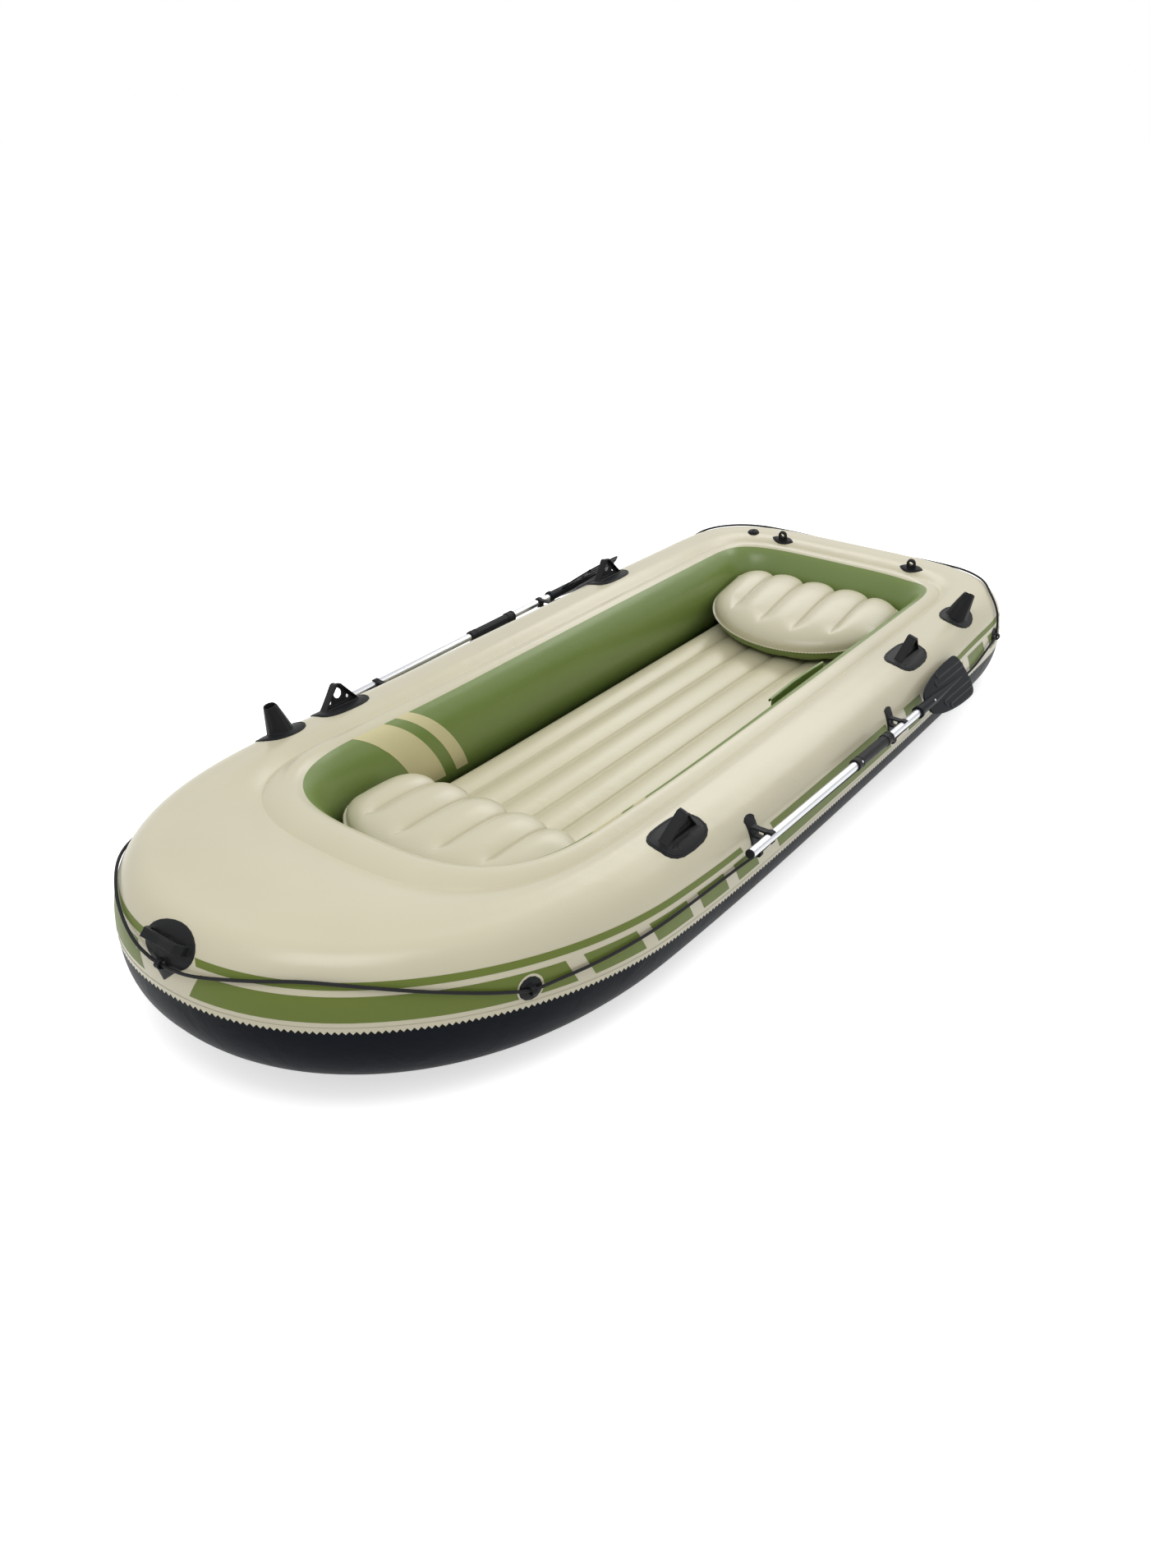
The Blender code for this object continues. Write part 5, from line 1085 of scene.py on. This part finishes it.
def braided(name, route, look):
    """A closed tube along the route, with the strands of a braid."""
    points = []
    count = len(route)
    reach = 0.0
    for i, spot in enumerate(route):
        before = route[max(i - 1, 0)]
        reach += (spot - before).length
        along = (route[min(i + 1, count - 1)] - before).normalized()
        across = along.cross(Vector((0, 0, 1))).normalized()
        up = across.cross(along)
        for k in range(ROPE_SIDES):
            angle = 2 * math.pi * k / ROPE_SIDES
            phase = math.pi * reach / BRAID_PITCH
            strand = max(abs(math.cos(phase + 2 * angle)), abs(math.cos(phase - 2 * angle)))
            radius = ROPE_RADIUS * (1 - BRAID_DEPTH * (1 - strand))
            points.append(spot + (across * math.cos(angle) + up * math.sin(angle)) * radius)
    faces = grid_faces(count, ROPE_SIDES, closed=True)
    faces += [tuple(range(ROPE_SIDES)), tuple(range(len(points) - 1, len(points) - 1 - ROPE_SIDES, -1))]
    return mesh_object(name, points, faces, look), reach


def grab_rope():
    route = rope_route()
    made, length = braided("grab_rope_line", route, LOOKS["rope"])
    belongs(made, "hull", "black_moulding", "grab_rope")


# Oars


class Shaft:
    """The line of one oar, with the blade's own directions."""

    def __init__(self, side):
        self.side = side
        self.along = Vector((1, 0, OAR_SLOPES[side])).normalized()
        self.out = Vector((0, side, 0))
        self.up = Vector((-self.along.z, 0, self.along.x))
        self.start = Vector((0, side * OAR_Y, OAR_HEIGHTS[side]))
        self.blade_out = self.out * math.cos(BLADE_TILT) + self.up * math.sin(BLADE_TILT)
        self.blade_across = self.up * math.cos(BLADE_TILT) - self.out * math.sin(BLADE_TILT)

    def round(self, x, radius, angle):
        return self.start + self.along * x + (self.out * math.cos(angle) + self.up * math.sin(angle)) * radius

    def flat(self, x, across, height):
        return self.start + self.along * x + self.blade_across * across + self.blade_out * height


def turned(shaft, profile, flute=None):
    """Points and faces of a closed profile of (place, radius) turned about the shaft."""
    points = []
    for x, radius in profile:
        for k in range(OAR_SIDES):
            angle = 2 * math.pi * k / OAR_SIDES
            points.append(shaft.round(x, radius + (flute(x, angle) if flute else 0.0), angle))
    faces = grid_faces(len(profile), OAR_SIDES, closed=True, flip=shaft.side < 0)
    last = (len(profile) - 1) * OAR_SIDES
    join = [(last + k, k, (k + 1) % OAR_SIDES, last + (k + 1) % OAR_SIDES) for k in range(OAR_SIDES)]
    return points, faces + ([face[::-1] for face in join] if shaft.side < 0 else join)


def oar_piece(node, points, faces, look, slot, body):
    made = mesh_object(f"{node}_form", points, faces, look)
    made.data.set_sharp_from_angle(angle=math.radians(35))
    return belongs(made, body, slot, node)


def tube_profile(fore, aft):
    inside = SHAFT_RADIUS - SHAFT_WALL
    return [(fore, inside), (fore, SHAFT_RADIUS), (aft, SHAFT_RADIUS), (aft, inside)]


def cap_profile():
    """The grip's end: a low dome on a short plug."""
    dome = [(GRIP_END, 0.0005)]
    for angle in spread(0, math.pi / 2, 6):
        edge = SHAFT_RADIUS - 0.0016
        dome.append((GRIP_END - 0.0016 * (1 - math.cos(angle)), edge + 0.0016 * math.sin(angle)))
    plug = GRIP_END - GRIP_CAP
    return dome + [(plug, SHAFT_RADIUS), (plug, GRIP_PLUG), (plug - 0.02, GRIP_PLUG), (plug - 0.02, 0.0005)]


def collar_profile(fore, radius):
    """One collar of the connector: two bands with a groove between them."""
    low = radius - COLLAR_GROOVE
    steps = ((0.0, low), (0.0015, radius), (0.021, radius), (0.0225, low), (0.0265, low), (0.028, radius))
    steps += ((COLLAR - 0.0015, radius), (COLLAR, low))
    return [(fore - x, height) for x, height in steps]


def connector_profile():
    fore = collar_profile(CONNECTOR_FORE, COLLAR_RADIUS)
    aft = collar_profile(CONNECTOR_AFT + COLLAR, AFT_COLLAR_RADIUS)
    low, high = CONNECTOR_FORE - COLLAR - 0.001, CONNECTOR_AFT + COLLAR + 0.001
    barrel = [(x, BARREL_RADIUS) for x in spread(low, high, 12)]
    return [(CONNECTOR_FORE, SOCKET_RADIUS)] + fore + barrel + aft + [(CONNECTOR_AFT, SOCKET_RADIUS)]


def barrel_flute(x, angle):
    """Lengthwise ribs on the connector between its collars."""
    inside = CONNECTOR_AFT + COLLAR < x < CONNECTOR_FORE - COLLAR
    return FLUTE_HEIGHT * abs(math.cos(FLUTES * angle / 2)) ** 0.5 if inside else 0.0


def blade_half(share):
    swell = math.sin(math.pi / 2 * min(1.0, share / BLADE_WIDEST)) ** BLADE_SWELL_POWER
    width = BLADE_NECK_HALF + (BLADE_HALF - BLADE_NECK_HALF) * swell
    tip = max(0.0, (share - BLADE_WIDEST) / (1 - BLADE_WIDEST))
    return width * (1 - tip**BLADE_TIP_POWER) ** (1 / BLADE_TIP_POWER)


def ridge(x, across):
    """Height of the hooked ridges that stiffen each half of the blade."""
    height = 0.0
    for offset, end in RIDGE_ENDS:
        if x > end:
            gap = abs(math.hypot(x - end, abs(across) - offset - RIDGE_HOOK) - RIDGE_HOOK)
        else:
            gap = math.hypot(min(0.0, x - RIDGE_START), abs(across) - offset)
        height = max(height, RIDGE_HEIGHT * math.exp(-((gap / RIDGE_WIDTH) ** 2)))
    return height


def blade_plate(shaft):
    shares = [(1 - math.cos(angle)) / 2 for angle in spread(0, math.pi, BLADE_ROWS)]
    points = []
    for face in (1, -1):
        for share in shares:
            x = BLADE_SHOULDER + (BLADE_TIP - BLADE_SHOULDER) * share
            half = blade_half(min(share, 0.99999))
            for step in spread(-1, 1, BLADE_COLUMNS):
                edge = math.sqrt(max(0.0, 1 - abs(step) ** 12))
                height = (BLADE_HALF_THICKNESS + ridge(x, step * half)) * edge
                points.append(shaft.flat(x, step * half, face * height))
    rows, columns = BLADE_ROWS + 1, BLADE_COLUMNS + 1
    front = grid_faces(rows, columns, flip=shaft.side > 0)
    start = rows * columns
    faces = front + [tuple(start + i for i in face[::-1]) for face in front]
    ends = [(k, k + 1, start + k + 1, start + k) for k in range(columns - 1)]
    last = start - columns
    ends += [(last + k + 1, last + k, start + last + k, start + last + k + 1) for k in range(columns - 1)]
    return points, faces + ([face[::-1] for face in ends] if shaft.side < 0 else ends)


def oar_blade(shaft, prefix, body):
    fore, aft = BLADE_COLLAR
    lip = 0.002
    profile = [(fore, SOCKET_RADIUS), (fore, BLADE_COLLAR_RADIUS - lip), (fore - lip, BLADE_COLLAR_RADIUS)]
    profile += [(aft + lip, BLADE_COLLAR_RADIUS), (aft, BLADE_COLLAR_RADIUS - lip), (aft, BLADE_NECK_RADIUS)]
    profile += [(BLADE_SOCKET_END, BLADE_NECK_RADIUS), (BLADE_SPINE_END, BLADE_SPINE_TIP)]
    profile += [(BLADE_SPINE_END - BLADE_SPINE_TIP, 0.0005), (BLADE_SOCKET_END, 0.0005)]
    profile += [(BLADE_SOCKET_END, SOCKET_RADIUS)]
    points, faces = turned(shaft, profile)
    plate, plate_faces = blade_plate(shaft)
    start = len(points)
    faces += [tuple(start + i for i in face) for face in plate_faces]
    oar_piece(f"{prefix}_oar_blade", points + plate, faces, LOOKS["blade"], "black_moulding", body)


def oar(prefix, side):
    shaft = Shaft(side)
    body = f"{prefix}_oar"
    handle = turned(shaft, tube_profile(GRIP_END - GRIP_CAP - 0.0003, SHAFT_SPLIT))
    oar_piece(f"{prefix}_oar_handle_tube", *handle, LOOKS["metal"], "aluminium", body)
    lower = turned(shaft, tube_profile(SHAFT_SPLIT - 0.0006, SHAFT_END))
    oar_piece(f"{prefix}_oar_lower_tube", *lower, LOOKS["metal"], "aluminium", body)
    connector = turned(shaft, connector_profile(), barrel_flute)
    oar_piece(f"{prefix}_oar_connector", *connector, LOOKS["black"], "black_moulding", body)
    oar_piece(f"{prefix}_oar_grip_cap", *turned(shaft, cap_profile()), LOOKS["black"], "black_moulding", body)
    oar_blade(shaft, prefix, body)
    paint(f"{prefix}_blade_button", LOOKS["metal"])
    paint(f"{prefix}_connector_button", LOOKS["metal"])


# Pouch


def pouch_line(swell):
    """The pouch's section: down the wall, round the bottom, up the front and over the rolled edge."""
    front = POUCH_BACK - POUCH_DEPTH - swell
    half = (POUCH_BACK - front) / 2
    line = [(POUCH_BACK, z) for z in spread(POUCH_TOP, POUCH_BOTTOM + half, POUCH_ROWS)]
    for angle in spread(0, math.pi, POUCH_ROWS)[1:]:
        turn = Vector((math.cos(angle), -math.sin(angle))) * half
        line.append((POUCH_BACK - half + turn.x, POUCH_BOTTOM + half + turn.y))
    line += [(front, z) for z in spread(POUCH_BOTTOM + half, POUCH_TOP, POUCH_ROWS)[1:]]
    for angle in spread(0, POUCH_CUFF_TURN, POUCH_ROWS)[1:]:
        line.append((front - POUCH_CUFF * (1 - math.cos(angle)), POUCH_TOP + POUCH_CUFF * math.sin(angle)))
    return line


def pouch():
    """An open pocket whose front swells a little between its welded ends."""
    points = []
    for share in spread(0, 1, POUCH_COLUMNS):
        x = POUCH_AFT + (POUCH_FORE - POUCH_AFT) * share
        swell = POUCH_SWELL * math.sin(math.pi * share)
        line = pouch_line(swell)
        for k, (y, z) in enumerate(line):
            free = eased((k / len(line) - 0.4) / 0.3)
            ripple = POUCH_RIPPLE * free * noise.noise(Vector((x * 30, z * 22, 4.0)))
            points.append(Vector((x, y + ripple, z)))
    width = len(pouch_line(0.0))
    faces = grid_faces(POUCH_COLUMNS + 1, width, flip=True)
    start = len(points)
    inner = raised(points, faces, -POUCH_SHEET)
    shell = faces + [tuple(start + i for i in face[::-1]) for face in faces]
    rim = list(range(width)) + [(r + 1) * width - 1 for r in range(1, POUCH_COLUMNS + 1)]
    rim += [start - 1 - i for i in range(1, width)] + [r * width for r in range(POUCH_COLUMNS - 1, 0, -1)]
    shell += [(b, a, a + start, b + start) for a, b in zip(rim, rim[1:] + rim[:1])]
    made = mesh_object("pouch_film", points + inner, shell, LOOKS["green"])
    belongs(made, "hull", "green_film", "storage_pouch")
    line = pouch_line(POUCH_SWELL)
    length = sum(math.dist(a, b) for a, b in zip(line, line[1:]))


# Hidden pieces that stay as they are


def hidden_pieces():
    paint("chamber_divider", LOOKS["navy"])
    for web in range(1, FLOOR_CHANNELS):
        paint(f"floor_web_{web}", LOOKS["weld"])


# Stage, light and camera


def camera():
    data = bpy.data.cameras.new("photo_camera")
    data.sensor_width = SENSOR
    data.lens = SENSOR * FOCAL_PIXELS / IMAGE_HEIGHT
    made = bpy.data.objects.new("photo_camera", data)
    bpy.context.scene.collection.objects.link(made)
    made.location = CAMERA_PLACE
    made.rotation_mode = "QUATERNION"
    made.rotation_quaternion = CAMERA_FORWARD.to_track_quat("-Z", "Y")
    bpy.context.scene.camera = made


def background_ray(tree):
    """1 for the rays that see the white background: from the camera, mirrored or through glass."""
    path = tree.nodes.new("ShaderNodeLightPath")
    seen = path.outputs["Is Camera Ray"]
    for kind in ("Is Glossy Ray", "Is Transmission Ray"):
        either = tree.nodes.new("ShaderNodeMath")
        either.operation = "MAXIMUM"
        tree.links.new(seen, either.inputs[0])
        tree.links.new(path.outputs[kind], either.inputs[1])
        seen = either.outputs["Value"]
    return seen


def stage():
    white = (0.90, 0.90, 0.90, 1)
    look = Look("studio_floor", Base_Color=white, Roughness=0.9, Specular_IOR_Level=0.0)
    look.shader.inputs["Emission Color"].default_value = (1, 1, 1, 1)
    tree = look.tree
    lift = tree.nodes.new("ShaderNodeMath")
    lift.operation = "MULTIPLY"
    lift.inputs[1].default_value = FLOOR_LIFT
    tree.links.new(background_ray(tree), lift.inputs[0])
    tree.links.new(lift.outputs["Value"], look.shader.inputs["Emission Strength"])
    corners = [(x * FLOOR_REACH, y * FLOOR_REACH, FLOOR_Z) for x, y in ((-1, -1), (1, -1), (1, 1), (-1, 1))]
    mesh_object("studio_floor", corners, [(0, 1, 2, 3)], look.material, smooth=False)

    world = bpy.data.worlds.new("studio")
    bpy.context.scene.world = world
    world.use_nodes = True
    tree = world.node_tree
    back = tree.nodes["Background"]
    back.inputs["Color"].default_value = (1.0, 1.0, 1.0, 1)
    direction = tree.nodes.new("ShaderNodeTexCoord")
    split = tree.nodes.new("ShaderNodeSeparateXYZ")
    tree.links.new(direction.outputs["Generated"], split.inputs["Vector"])
    sky = add(tree, "ShaderNodeMapRange", From_Max=SKY_REACH, To_Min=SKY_LOW, To_Max=SKY_HIGH)
    tree.links.new(split.outputs["Z"], sky.inputs["Value"])
    level = add(tree, "ShaderNodeMapRange", To_Max=1.0)
    tree.links.new(background_ray(tree), level.inputs["Value"])
    tree.links.new(sky.outputs["Result"], level.inputs["To Min"])
    tree.links.new(level.outputs["Result"], back.inputs["Strength"])
    bpy.context.scene.view_settings.view_transform = "Standard"


def softbox(name, place_at, aim, size, power):
    light = bpy.data.lights.new(name, "AREA")
    light.shape = "RECTANGLE"
    light.size, light.size_y = size
    light.energy = power
    lamp = bpy.data.objects.new(name, light)
    bpy.context.scene.collection.objects.link(lamp)
    lamp.location = place_at
    lamp.rotation_mode = "QUATERNION"
    lamp.rotation_quaternion = (Vector(aim) - Vector(place_at)).to_track_quat("-Z", "Y")


seam_edge()
prints()
wall_stripes()
pale_rings()
floor_film = floor()
floor_welds()
seat("front_seat", FRONT_SEAT_PLACE, FRONT_SEAT_NOSE, FRONT_SEAT_TILT)
seat("rear_seat", REAR_SEAT_PLACE, REAR_SEAT_NOSE, REAR_SEAT_TILT)
fittings()
valves(tree_of(floor_film))
pouch()
grab_rope()
oar("port", 1)
oar("starboard", -1)
hidden_pieces()
camera()
stage()
softbox("key", KEY_PLACE, KEY_AIM, KEY_SIZE, KEY_POWER)
softbox("back", BACK_PLACE, BACK_AIM, BACK_SIZE, BACK_POWER)
